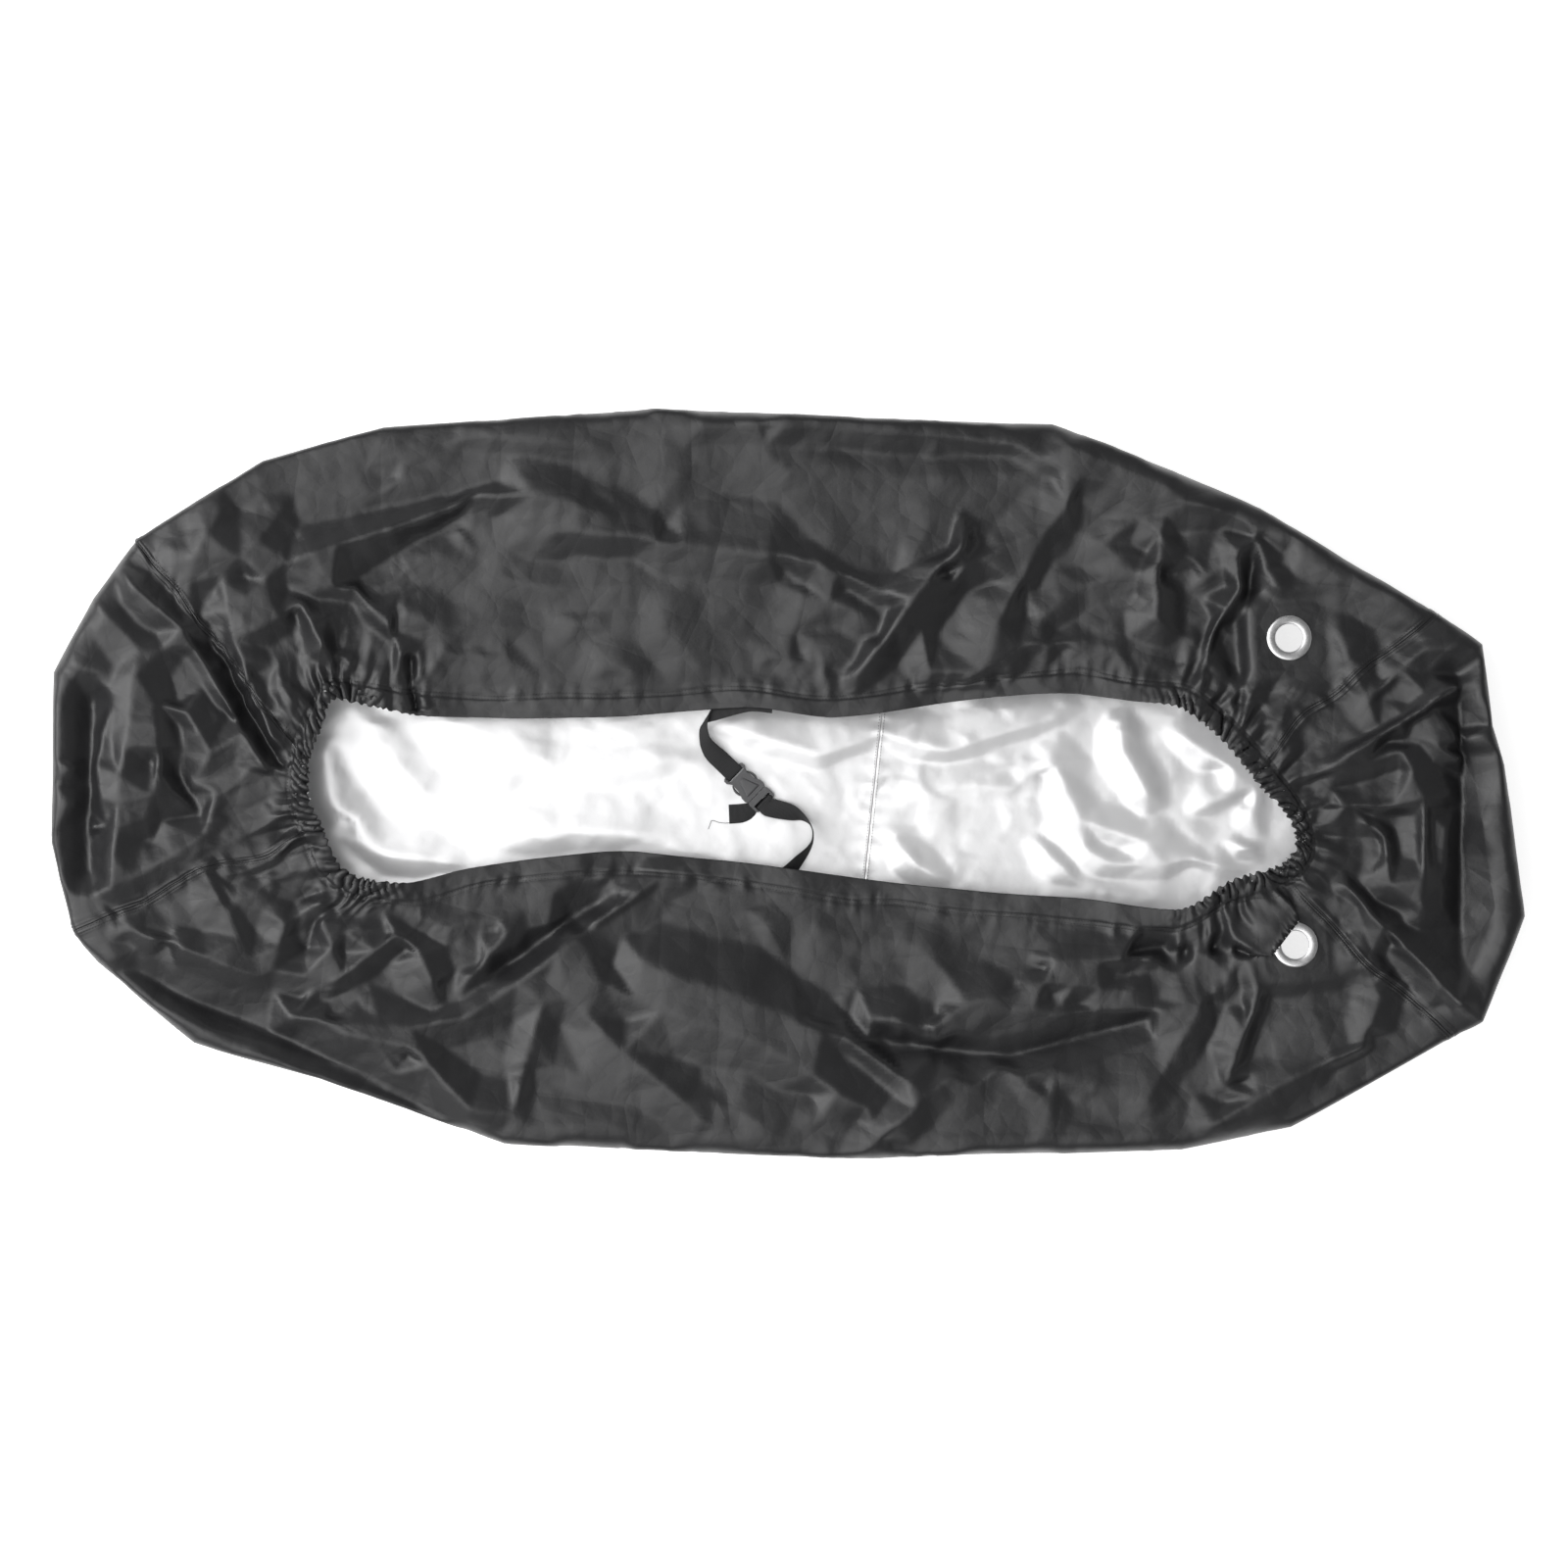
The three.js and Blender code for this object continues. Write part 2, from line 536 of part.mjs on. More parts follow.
// Upright round post that cuts the eyelet's hole through the cloth
function holePost(eyelet) {
  const post = new THREE.CylinderGeometry(EYELET_HOLE, EYELET_HOLE, HOLE_POST_HEIGHT, EYELET_SIDES);
  return post.rotateX(Math.PI / 2).translate(eyelet.x, eyelet.y, eyelet.height);
}

function patchPost(eyelet) {
  const post = new THREE.BoxGeometry(PATCH_SIDE, PATCH_SIDE, PATCH_POST_HEIGHT);
  return post.rotateZ(PATCH_TURN).translate(eyelet.x, eyelet.y, eyelet.height);
}

// Press-in eyelet: a rounded top flange, a barrel through both cloths and a flat washer below
function eyeletRing(eyelet) {
  const top = GAP;
  const bottom = -(2 * CLOTH + GAP) - GAP;
  const crown = top + EYELET_FLANGE;
  const profile = [
    [EYELET_INNER, bottom - EYELET_FLANGE],
    [EYELET_OUTER - EYELET_WASHER_EDGE, bottom - EYELET_FLANGE],
    [EYELET_OUTER, bottom],
    [EYELET_BARREL, bottom],
    [EYELET_BARREL, top],
    [EYELET_OUTER, top],
    [EYELET_OUTER - EYELET_EDGE, crown],
    [mix(EYELET_INNER, EYELET_OUTER, 0.5), crown + EYELET_CROWN],
    [EYELET_INNER + EYELET_EDGE, crown + EYELET_SHOULDER],
    [EYELET_INNER, crown - EYELET_LIP],
    [EYELET_INNER, bottom - EYELET_FLANGE],
  ].map(([r, z]) => new THREE.Vector2(r, z));
  const ring = new THREE.LatheGeometry(profile, EYELET_SIDES);
  return ring.rotateX(Math.PI / 2).translate(eyelet.x, eyelet.y, eyelet.height);
}

// A flat strap: rows of centre and across direction, with its own thickness
function ribbon(rows) {
  const grid = rows.map((row, i) => {
    const before = rows[Math.max(0, i - 1)].at;
    const after = rows[Math.min(rows.length - 1, i + 1)].at;
    const travel = after.clone().sub(before).normalize();
    const across = row.across.clone().normalize();
    const normal = travel.clone().cross(across).normalize();
    return [-1, 0, 1].map((side) => ({
      point: row.at.clone().addScaledVector(across, side * WEBBING_WIDTH / 2),
      normal,
    }));
  });
  return sheet(grid, () => -WEBBING / 2, () => WEBBING / 2);
}

// A strap row from its place, the turn of its across direction in plan and its lean, in degrees
function strapRow([x, y, z, turn, lean]) {
  const a = turn * Math.PI / 180;
  const b = lean * Math.PI / 180;
  return {
    at: new THREE.Vector3(x, y, z),
    across: new THREE.Vector3(Math.cos(a) * Math.cos(b), Math.sin(a) * Math.cos(b), Math.sin(b)),
  };
}

// Strap rows that lie against the underside of a hem, at sections u, with the middle at an inset
function underHem(panel, u, inset) {
  const span = section(u).span;
  const edge = place(panel, u, 0);
  const stitched = place(panel, u, HEM_WIDTH / span);
  const across = stitched.clone().sub(edge).normalize();
  const normal = outward(panel, u, HEM_WIDTH / 2 / span);
  const depth = CLOTH + HEM_EXTRA + GAP + WEBBING / 2;
  return { at: edge.addScaledVector(across, inset).addScaledVector(normal, -depth), across };
}

// The buckle lies turned in plan; its own x runs from the socket's bar to the plug's end
const BUCKLE = {
  x: -68, y: 14, turn: -44 * Math.PI / 180, bottom: 3.8, height: 10,
  wall: 2.2, slot: 5, // the slot takes the webbing
  barThick: 3.2, barWidth: 4, barSpare: 0.6, // the bar is a little longer than the webbing is wide
  mouth: 40, plugEnd: 58,
};
const CAVITY = { from: 9, half: 11 }; // hollow of the socket
const WINDOW = { from: 11, to: 27, inner: 9, outer: 20 }; // where the plug's heads show at the sides
const GUIDE = { from: 14, to: 41, half: 1.6, clearance: 0.4 }; // middle tongue of the plug
const CUT_PAST = 1; // cutting blocks reach this far past the faces they cut

// Half outlines, in the buckle's own x and y
const buckleShapes = {
  socket: [[-4, 0], [-4, 14.5], [-2, 17], [3, 17], [6, 14.5], [9, 12.8], [22, 13.4], [30, 17], [36, 17.4],
    [40, 15.4], [40, 0]],
  plug: [[40.4, 0], [40.4, 14.8], [44, 16.6], [55, 16.6], [58, 14.6], [58, 0]],
  arm: [[41, 6.6], [41, 9.6], [25, 10.2], [23.4, 12.6], [14, 11.4], [12.6, 8.4], [25, 7]],
};

function mirrored(half) {
  const shape = new THREE.Shape();
  const other = half.slice().reverse().map(([x, y]) => [x, -y]);
  [...half, ...other].forEach(([x, y], i) => (i === 0 ? shape.moveTo(x, y) : shape.lineTo(x, y)));
  return shape;
}

function block(x0, x1, y0, y1, z0, z1) {
  return solidOf(new THREE.BoxGeometry(x1 - x0, y1 - y0, z1 - z0)
    .translate((x0 + x1) / 2, (y0 + y1) / 2, (z0 + z1) / 2));
}

function inPlace(geometry) {
  return geometry.rotateZ(BUCKLE.turn).translate(BUCKLE.x, BUCKLE.y, BUCKLE.bottom);
}

// Socket: a sleeve with a bar for the webbing, a mouth for the plug and a window in each side
function buckleSocket() {
  const { height, wall, slot, mouth, barThick, barWidth, barSpare } = BUCKLE;
  const half = WEBBING_WIDTH / 2 + barSpare;
  const under = (height - barThick) / 2;
  const end = -barWidth - 2 * CUT_PAST;
  let body = solidOf(upright(mirrored(buckleShapes.socket), height, 0));
  body = body.subtract(block(0, slot, -half, half, -CUT_PAST, height + CUT_PAST));
  body = body.subtract(block(end, 0, -half, half, -CUT_PAST, under));
  body = body.subtract(block(end, 0, -half, half, height - under, height + CUT_PAST));
  body = body.subtract(block(CAVITY.from, mouth + CUT_PAST, -CAVITY.half, CAVITY.half, wall, height - wall));
  for (const [low, high] of [[WINDOW.inner, WINDOW.outer], [-WINDOW.outer, -WINDOW.inner]]) {
    body = body.subtract(block(WINDOW.from, WINDOW.to, low, high, wall, height - wall));
  }
  return inPlace(geometryOf(body));
}

// Plug: a ladder frame for the webbing, a middle guide and two spring arms with heads in the windows
function bucklePlug() {
  const { height, wall, slot, barThick, barWidth, barSpare, plugEnd } = BUCKLE;
  const half = WEBBING_WIDTH / 2 + barSpare;
  const under = (height - barThick) / 2;
  const bar = plugEnd - barWidth;
  let body = solidOf(upright(mirrored(buckleShapes.plug), height, 0));
  body = body.subtract(block(bar - slot, bar, -half, half, -CUT_PAST, height + CUT_PAST));
  body = body.subtract(block(bar, plugEnd + CUT_PAST, -half, half, -CUT_PAST, under));
  body = body.subtract(block(bar, plugEnd + CUT_PAST, -half, half, height - under, height + CUT_PAST));
  const low = wall + GUIDE.clearance;
  const high = height - low;
  body = body.add(block(GUIDE.from, GUIDE.to, -GUIDE.half, GUIDE.half, low, high));
  for (const side of [-1, 1]) {
    const arm = new THREE.Shape();
    buckleShapes.arm.forEach(([x, y], i) => (i === 0 ? arm.moveTo(x, side * y) : arm.lineTo(x, side * y)));
    body = body.add(solidOf(upright(arm, high - low, low)));
  }
  return inPlace(geometryOf(body));
}

// A place in the buckle's own frame, with the across direction of the webbing there
function onBuckle(x, z, turn = 0) {
  const { cos, sin } = Math;
  const side = BUCKLE.turn + Math.PI / 2 + turn * Math.PI / 180;
  return {
    at: new THREE.Vector3(BUCKLE.x + x * cos(BUCKLE.turn), BUCKLE.y + x * sin(BUCKLE.turn), z),
    across: new THREE.Vector3(cos(side), sin(side), 0),
  };
}

const FLOOR_CLEARANCE = 0.4; // of webbing over the cloth on the floor
const BAR_TOP = BUCKLE.bottom + (BUCKLE.height + BUCKLE.barThick) / 2 + GAP + WEBBING / 2;
const FLOOR_LAY = CLOTH + FLOOR_CLEARANCE + WEBBING / 2;

// Where the straps pass under the hems: the section, and the webbing's middle from the hem's edge
const UPPER_TUCK = { from: 7.25, to: 7, inset: 6.5 };
const LOWER_TUCK = { at: 27.75, inset: 10, edge: -8, reach: 0.05, drop: 0.3 };

// Webbing from under the upper hem, over on its edge, down to the socket's bar and back under itself.
// Strap rows hold x y z of the webbing's middle, and the turn and lean of its across direction
function strapUpper() {
  const panel = PANELS.side_upper;
  return ribbon([
    underHem(panel, UPPER_TUCK.from, UPPER_TUCK.inset),
    underHem(panel, UPPER_TUCK.to, UPPER_TUCK.inset),
    strapRow([-86, 96, 38, 84, 4]),
    strapRow([-102, 88, 34, 62, 30]),
    strapRow([-108, 74, 27, 40, 58]),
    strapRow([-106, 56, 20, 38, 50]),
    strapRow([-98, 43, 14, 42, 26]),
    onBuckle(-24, 10.4),
    onBuckle(-10, BAR_TOP - 0.3),
    onBuckle(-3, BAR_TOP),
    onBuckle(1.2, BAR_TOP - 0.4),
    onBuckle(2.5, BAR_TOP - 3),
    onBuckle(2.5, FLOOR_LAY + 2.6),
    onBuckle(1.2, FLOOR_LAY + 0.4),
    onBuckle(-3, FLOOR_LAY),
    onBuckle(-20, FLOOR_LAY),
  ]);
}

// Webbing from under the lower hem, round on its edge, over the plug's bar and out below as a tail
function strapLower() {
  const panel = PANELS.side_lower;
  const { at, inset, reach, drop } = LOWER_TUCK;
  const hem = underHem(panel, at, inset);
  const edge = underHem(panel, at, LOWER_TUCK.edge);
  const along = place(panel, at + reach, 0).sub(place(panel, at - reach, 0)).normalize();
  const down = new THREE.Vector3(0, 0, -drop);
  return ribbon([
    { at: hem.at.add(down), across: along.clone() },
    { at: edge.at.add(down), across: along.clone() },
    strapRow([18, -94, 36, 160, 10]),
    strapRow([28, -80, 31, 150, 44]),
    strapRow([33, -66, 26, 125, 68]),
    strapRow([30, -52, 21, 100, 64]),
    strapRow([20, -43, 17, 86, 40]),
    strapRow([8, -38, 15, 80, 18]),
    onBuckle(64, BAR_TOP + 0.6, 18),
    onBuckle(57, BAR_TOP, 2),
    onBuckle(53.2, BAR_TOP - 0.4),
    onBuckle(51.6, BAR_TOP - 3),
    onBuckle(51.6, FLOOR_LAY + 2.4),
    onBuckle(50.4, FLOOR_LAY + 0.3, 2),
    onBuckle(46, FLOOR_LAY, 12),
    strapRow([-46, -33, FLOOR_LAY, 78, 0]),
    strapRow([-58, -38, FLOOR_LAY, 88, 0]),
    strapRow([-75, -39.5, FLOOR_LAY, 92, 0]),
  ]);
}

const finishes = {
  taffeta: { color: 0x2b2b2e, roughness: 0.5, metalness: 0 },
  plating: { color: 0xd8d8da, roughness: 0.18, metalness: 1 },
  webbing: { color: 0x1d1d1f, roughness: 0.85, metalness: 0 },
  plastic: { color: 0x3a3a3c, roughness: 0.45, metalness: 0 },
};

const cover = new THREE.Group();

function add(name, geometry, finish) {
  const mesh = new THREE.Mesh(geometry, new THREE.MeshStandardMaterial(finishes[finish]));
  mesh.name = name;
  cover.add(mesh);
}

// The side panels are pierced for the eyelets, and each patch follows its panel from below
for (const [name, panel] of Object.entries(PANELS)) {
  const grid = panelGrid(panel);
  const cloth = sheet(grid, () => 0, (cell) => cell.depth);
  const which = name.replace('side_', '');
  if (!(which in EYELETS)) {
    add(name, cloth, 'taffeta');
    continue;
  }
  const eyelet = EYELETS[which];
  const hole = solidOf(holePost(eyelet));
  add(name, geometryOf(solidOf(cloth).subtract(hole)), 'taffeta');
  const near = grid.filter((column) => column.some((cell) => (
    Math.hypot(cell.point.x - eyelet.x, cell.point.y - eyelet.y) < PATCH_SIDE)));
  const top = near.map((column) => column.slice(0, 3 + TOP_ROWS));
  const backing = solidOf(sheet(top, () => CLOTH + GAP, () => 2 * CLOTH + GAP));
  const patch = backing.intersect(solidOf(patchPost(eyelet))).subtract(hole);
  add(`patch_${which}`, geometryOf(patch), 'taffeta');
  add(`eyelet_${which}`, eyeletRing(eyelet), 'plating');
}
add('strap_upper', strapUpper(), 'webbing');
add('strap_lower', strapLower(), 'webbing');
add('buckle_socket', buckleSocket(), 'plastic');
add('buckle_plug', bucklePlug(), 'plastic');

export default cover;
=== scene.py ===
"""Bicycle cover of coated taffeta, lying on its roof with the mouth up.

The tables are in millimetres, in the axes of the frame: X from the rear end to the front end and
Z up from the floor. Every piece of cloth is one surface over two parameters: u runs round the
cover from section to section, and v runs from the hem (0) over the crest (1), the outline (2) and
the place where the rim meets the floor (3) to the floor seam (4). Meshes are written in metres.
The last number of each noise and crumple is the seed of its random numbers.
"""

import math

import bmesh
import bpy
import numpy as np
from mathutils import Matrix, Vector
from mathutils.geometry import delaunay_2d_cdt


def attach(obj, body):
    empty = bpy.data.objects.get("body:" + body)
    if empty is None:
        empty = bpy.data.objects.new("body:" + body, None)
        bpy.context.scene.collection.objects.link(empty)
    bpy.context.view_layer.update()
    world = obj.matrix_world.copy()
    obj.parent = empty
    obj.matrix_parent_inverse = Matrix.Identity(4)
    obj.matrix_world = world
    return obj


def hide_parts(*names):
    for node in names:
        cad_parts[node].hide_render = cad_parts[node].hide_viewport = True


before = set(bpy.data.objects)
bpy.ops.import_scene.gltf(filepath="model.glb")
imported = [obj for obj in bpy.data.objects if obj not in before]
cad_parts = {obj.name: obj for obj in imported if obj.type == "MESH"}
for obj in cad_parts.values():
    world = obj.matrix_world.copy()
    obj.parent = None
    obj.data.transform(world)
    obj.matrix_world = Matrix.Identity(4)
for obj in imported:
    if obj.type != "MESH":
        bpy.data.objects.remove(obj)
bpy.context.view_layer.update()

MM = 0.001

# Sizes of the cloth
CLOTH = 0.4  # thickness that shows
LOW_ROLL = 24  # how far the rim's underside is set in from the outline
WAIST = 0.46  # height of the outline as a share of the crest
OUTLINE_SHARE = 2.4  # length of the outline as a share of the hem's, near enough for its wrinkles
LOWEST_TOP = 24  # least height of the folded-in cloth
HEM_WIDTH = 30
HEM_LINES = (24.0, 28.4)  # the hem's two rows of stitches, as insets from its edge
HEM_BARS = (4.17, 4.27)  # u of the two short rows across the upper hem
TURNED = 2.2  # depth of the cloth that is turned under at the hem
SEAM_LINES = (2.8, 7.4)  # a seam's two rows of stitches, as distances from it
CROSS_STITCH = 3.2  # distance of the floor seam's stitches from it
FLOOR_LIFT = 0.5  # least height of the cloth on the floor
FLOOR_THICK = 0.7  # what the doubled cloth adds to it
SEAM_WAVE = 15  # how far the cloth is shifted in plan, in soft waves, half way between hem and rim

# The grid of the cloth
COLUMN = 4.6  # spacing of the columns along the outline
SEAM_COLUMNS = (1.1, 2.2, 3.3, 5.9, 7.1, 8.2)  # extra columns beside each seam
HEM_ROWS = 16
TOP_ROWS = 66  # from the hem to the crest
ROLL_ROWS = 9  # in each quarter of the roll
SIDE_FLOOR_ROWS, STRIP_FLOOR_ROWS = 5, 130
# The cloth turned under: the hem's rows above its rows, and its rows' angles round the edge
UNDER_ROWS, EDGE_ANGLES = (16, 12, 8, 4, 2), (150, 100, 60, 20)
TURNED_ROWS = len(UNDER_ROWS) + len(EDGE_ANGLES)

# Eyelets and the flat cloth round them
EYELETS = {"upper": (647, 188, 86), "lower": (655, -207, 84)}  # x, y and height
EYELET_OUTER, EYELET_INNER, EYELET_HOLE = 29, 18, 20.3  # radii of the ring and of the cloth's hole
PATCH_SIDE, PATCH_TURN, PATCH_DEPTH = 84, math.radians(6), 1.9
PATCH_SPOKES, PATCH_RINGS = 64, 14
FLAT_BLEND = 26  # width over which the flat square runs into the folds
UNDER_EYELET = 18  # how far below an eyelet the lower cloth lies
# The fold over the lower eyelet: middle and turn of its edge, where its cloth starts and ends
# behind it, and the share of that cloth that lies on top
OVERLAP_MIDDLE, OVERLAP_TURN, OVERLAP_START, OVERLAP_END = (642, -199), 52.6, 62, 15
OVERLAP_TOP = 0.62

# Sections round the cover, clockwise from the upper rear seam: outline x y, hem x y, height at
# the crest, half way and at the hem, width of the roll; and how rounded each of these runs from
# section to section
COLUMNS = {"ox": 0.12, "oy": 0.12, "hx": 0.7, "hy": 0.7, "crest": 0.6, "middle": 0.6, "hem": 0.6,
           "roll": 0}
SECTIONS = np.array([
    (-841, 315, -617, 28, 92, 78, 80, 26),
    (-741, 378, -600, 74, 84, 74, 80, 26),
    (-676, 419, -586, 110, 78, 68, 76, 26),
    (-520, 461, -554, 105, 74, 60, 66, 24),
    (-410, 469, -476, 90, 72, 56, 52, 22),
    (-308, 476, -378, 86, 72, 54, 46, 20),
    (-175, 486, -206, 90, 74, 54, 44, 20),
    (-43, 481, -48, 99, 72, 54, 44, 20),
    (98, 474, 60, 86, 70, 54, 44, 20),
    (251, 469, 200, 104, 70, 56, 46, 20),
    (344, 466, 302, 116, 76, 58, 50, 20),
    (394, 447, 373, 119, 76, 60, 56, 22),
    (505, 404, 441, 110, 80, 66, 68, 24),
    (613, 357, 507, 100, 84, 72, 78, 26),
    (733, 283, 559, 60, 92, 78, 86, 28),
    (836, 221, 601, 10, 100, 84, 92, 32),
    (895, 180, 615, -8, 108, 88, 94, 36),
    (907, 75, 631, -23, 114, 88, 94, 38),
    (923, 25, 646, -42, 116, 86, 92, 38),
    (943, -123, 657, -66, 118, 86, 90, 40),
    (949, -170, 655, -86, 116, 86, 90, 40),
    (896, -306, 643, -99, 108, 84, 90, 36),
    (858, -326, 632, -107, 100, 82, 90, 32),
    (652, -444, 571, -126, 84, 72, 84, 28),
    (511, -474, 505, -164, 76, 64, 72, 26),
    (352, -479, 378, -150, 72, 58, 56, 24),
    (200, -481, 251, -141, 70, 56, 48, 24),
    (111, -486, 124, -128, 70, 54, 44, 24),
    (-86, -479, -54, -103, 70, 54, 42, 24),
    (-232, -472, -194, -89, 72, 54, 42, 24),
    (-366, -466, -308, -95, 76, 56, 46, 24),
    (-486, -423, -410, -109, 78, 60, 54, 26),
    (-601, -381, -486, -128, 82, 64, 64, 26),
    (-766, -335, -545, -123, 88, 70, 74, 28),
    (-891, -231, -578, -104, 94, 76, 80, 28),
    (-920, -190, -599, -55, 98, 80, 82, 28),
    (-948, -75, -613, -28, 104, 84, 84, 30),
    (-947, 25, -617, -10, 106, 86, 84, 30),
    (-946, 145, -617, 5, 104, 86, 84, 30),
    (-895, 240, -617, 17, 98, 82, 82, 28),
], float)
ROUND = len(SECTIONS)
REAR_UPPER, FRONT_UPPER, FRONT_LOWER, REAR_LOWER = 0, 15, 22, 35  # the sections at the seams
CROSS_UPPER_X, CROSS_LOWER_X = 141, 89  # ends of the seam across the floor

# Folds of the folded-in cloth: height (below zero a groove), slope width left and right of the
# line, share of the line over which it rises and fades, and the line's points
TOP_FOLDS = [
    # rear end
    (-34, 22, 22, 0.12, 0.12, (-895, 140), (-896, 0), (-899, -146)),
    (20, 34, 40, 0.1, 0.15, (-829, 173), (-854, 13), (-869, -133)),
    (24, 20, 30, 0.15, 0.3, (-810, 104), (-806, 19), (-829, -76)),
    (22, 10, 60, 0.2, 0.15, (-866, 281), (-803, 226), (-741, 174)),
    (-26, 16, 16, 0.25, 0.1, (-737, 173), (-686, 79), (-651, 22)),
    (18, 14, 22, 0.2, 0.1, (-760, 173), (-714, 89), (-666, 18)),
    (14, 18, 45, 0.3, 0.3, (-829, 175), (-741, 174)),
    (20, 30, 26, 0.1, 0.25, (-812, 104), (-773, 94), (-725, 15)),
    (-20, 26, 26, 0.3, 0.3, (-796, 38), (-755, -41)),
    (16, 24, 30, 0.2, 0.3, (-866, -132), (-788, -91), (-717, -46)),
    # upper rear corner
    (18, 26, 30, 0.25, 0.3, (-741, 377), (-730, 351), (-758, 290), (-775, 222)),
    (16, 30, 26, 0.3, 0.2, (-656, 373), (-658, 343), (-727, 267)),
    (16, 30, 30, 0.25, 0.1, (-727, 264), (-719, 224), (-645, 287)),
    (24, 36, 30, 0.1, 0.2, (-645, 287), (-511, 330), (-392, 373)),
    (22, 34, 26, 0.25, 0.2, (-712, 185), (-625, 234)),
    (26, 80, 26, 0.15, 0.15, (-625, 234), (-595, 178), (-581, 140)),
    (16, 18, 18, 0.2, 0.15, (-712, 185), (-679, 99), (-651, 23)),
    (16, 70, 12, 0.25, 0.15, (-643, 258), (-556, 250), (-509, 203), (-483, 127)),
    (12, 14, 30, 0.2, 0.2, (-595, 178), (-565, 154), (-519, 140)),
    # upper middle
    (18, 60, 36, 0.25, 0.35, (-404, 371), (-326, 376), (-206, 343)),
    (20, 36, 48, 0.2, 0.2, (-363, 326), (-199, 319), (45, 287), (125, 251)),
    (10, 28, 40, 0.3, 0.2, (-13, 259), (125, 211)),
    (5, 40, 40, 0.3, 0.3, (-194, 257), (-110, 241)),
    (7, 34, 34, 0.3, 0.2, (-191, 224), (-130, 175), (-95, 124)),
    (32, 26, 52, 0.08, 0.2, (248, 334), (162, 239), (76, 119)),
    (16, 18, 14, 0.2, 0.2, (253, 315), (176, 203)),
    (16, 46, 22, 0.1, 0.2, (176, 203), (192, 119)),
    (18, 20, 34, 0.2, 0.2, (322, 295), (289, 229), (251, 147)),
    (14, 40, 26, 0.15, 0.4, (248, 140), (302, 179), (441, 188)),
    (16, 30, 26, 0.15, 0.2, (255, 287), (294, 258)),
    # upper front corner
    (14, 34, 34, 0.15, 0.25, (328, 417), (384, 394), (551, 353)),
    (14, 34, 34, 0.15, 0.3, (384, 394), (337, 330), (255, 290)),
    (14, 26, 26, 0.25, 0.3, (328, 419), (363, 434), (619, 330)),
    (24, 28, 34, 0.12, 0.2, (482, 323), (477, 178)),
    (28, 38, 30, 0.1, 0.2, (581, 302), (585, 254), (551, 193), (540, 147)),
    (18, 34, 16, 0.15, 0.25, (613, 282), (639, 236), (680, 203)),
    (-16, 12, 12, 0.2, 0.2, (604, 320), (596, 254), (586, 178), (582, 70)),
    (14, 36, 36, 0.2, 0.2, (632, 324), (784, 239), (825, 203)),
    (14, 18, 20, 0.15, 0.25, (683, 183), (723, 157), (749, 102)),
    # front end
    (-34, 40, 34, 0.12, 0.12, (863, 140), (871, -25), (866, -254)),
    (28, 40, 34, 0.1, 0.2, (862, 130), (759, 61), (685, 15)),
    (12, 30, 30, 0.3, 0.2, (895, 179), (816, 173), (759, 121)),
    (18, 26, 26, 0.15, 0.2, (789, 43), (821, -18), (815, -159)),
    (14, 18, 18, 0.15, 0.25, (647, 0), (784, 41)),
    (18, 20, 26, 0.1, 0.2, (683, -30), (816, -28)),
    (18, 26, 26, 0.2, 0.2, (728, -30), (765, -71), (779, -127), (817, -157)),
    # lower front corner
    (24, 16, 50, 0.1, 0.1, (722, -131), (817, -235), (883, -302)),
    (16, 22, 30, 0.1, 0.2, (688, -206), (770, -248)),
    (16, 30, 34, 0.15, 0.15, (770, -248), (740, -338), (637, -386), (525, -457)),
    (20, 12, 50, 0.1, 0.2, (619, -231), (571, -378)),
    (12, 26, 30, 0.15, 0.2, (591, -226), (533, -292), (464, -406)),
    (-22, 14, 14, 0.2, 0.15, (454, -218), (614, -208)),
    (16, 18, 18, 0.2, 0.2, (312, -232), (467, -224)),
    (14, 22, 26, 0.15, 0.3, (294, -251), (479, -272)),
    # lower middle
    (-22, 16, 20, 0.15, 0.15, (-217, -137), (-308, -198), (-387, -249)),
    (18, 40, 18, 0.15, 0.2, (-166, -122), (-293, -218), (-410, -300)),
    (16, 30, 30, 0.15, 0.2, (-286, -190), (-308, -250)),
    (18, 36, 28, 0.15, 0.2, (-266, -193), (-237, -254), (-194, -279)),
    (22, 30, 46, 0.1, 0.2, (-220, -218), (-55, -277), (83, -330), (180, -401)),
    (18, 30, 46, 0.15, 0.15, (-194, -279), (-31, -338), (100, -415)),
    (16, 60, 24, 0.1, 0.3, (-307, -250), (-364, -460)),
    (16, 30, 60, 0.1, 0.25, (-307, -250), (-111, -437)),
    (18, 24, 30, 0.15, 0.2, (117, -461), (214, -375)),
    (18, 22, 26, 0.12, 0.3, (110, -305), (186, -316), (232, -284), (337, -257)),
    (-20, 26, 26, 0.2, 0.2, (88, -328), (200, -343), (289, -356), (467, -305)),
    (12, 30, 40, 0.2, 0.3, (195, -333), (285, -293), (378, -284)),
    # lower rear corner
    (20, 34, 22, 0.15, 0.15, (-841, -187), (-681, -246)),
    (16, 30, 22, 0.15, 0.15, (-749, -112), (-686, -222), (-680, -248)),
    (18, 26, 20, 0.15, 0.15, (-643, -152), (-660, -239)),
    (16, 26, 20, 0.2, 0.15, (-660, -241), (-581, -251), (-506, -196)),
    (18, 18, 24, 0.1, 0.15, (-604, -123), (-600, -178), (-570, -241)),
    (20, 24, 24, 0.15, 0.15, (-506, -196), (-471, -224), (-440, -287)),
    (16, 26, 34, 0.15, 0.2, (-636, -297), (-485, -314), (-412, -298), (-308, -246)),
    (18, 50, 34, 0.1, 0.15, (-639, -300), (-496, -337), (-460, -362), (-384, -447)),
    (-24, 20, 20, 0.12, 0.12, (-869, -229), (-765, -279), (-638, -330), (-537, -381), (-420, -442)),
]

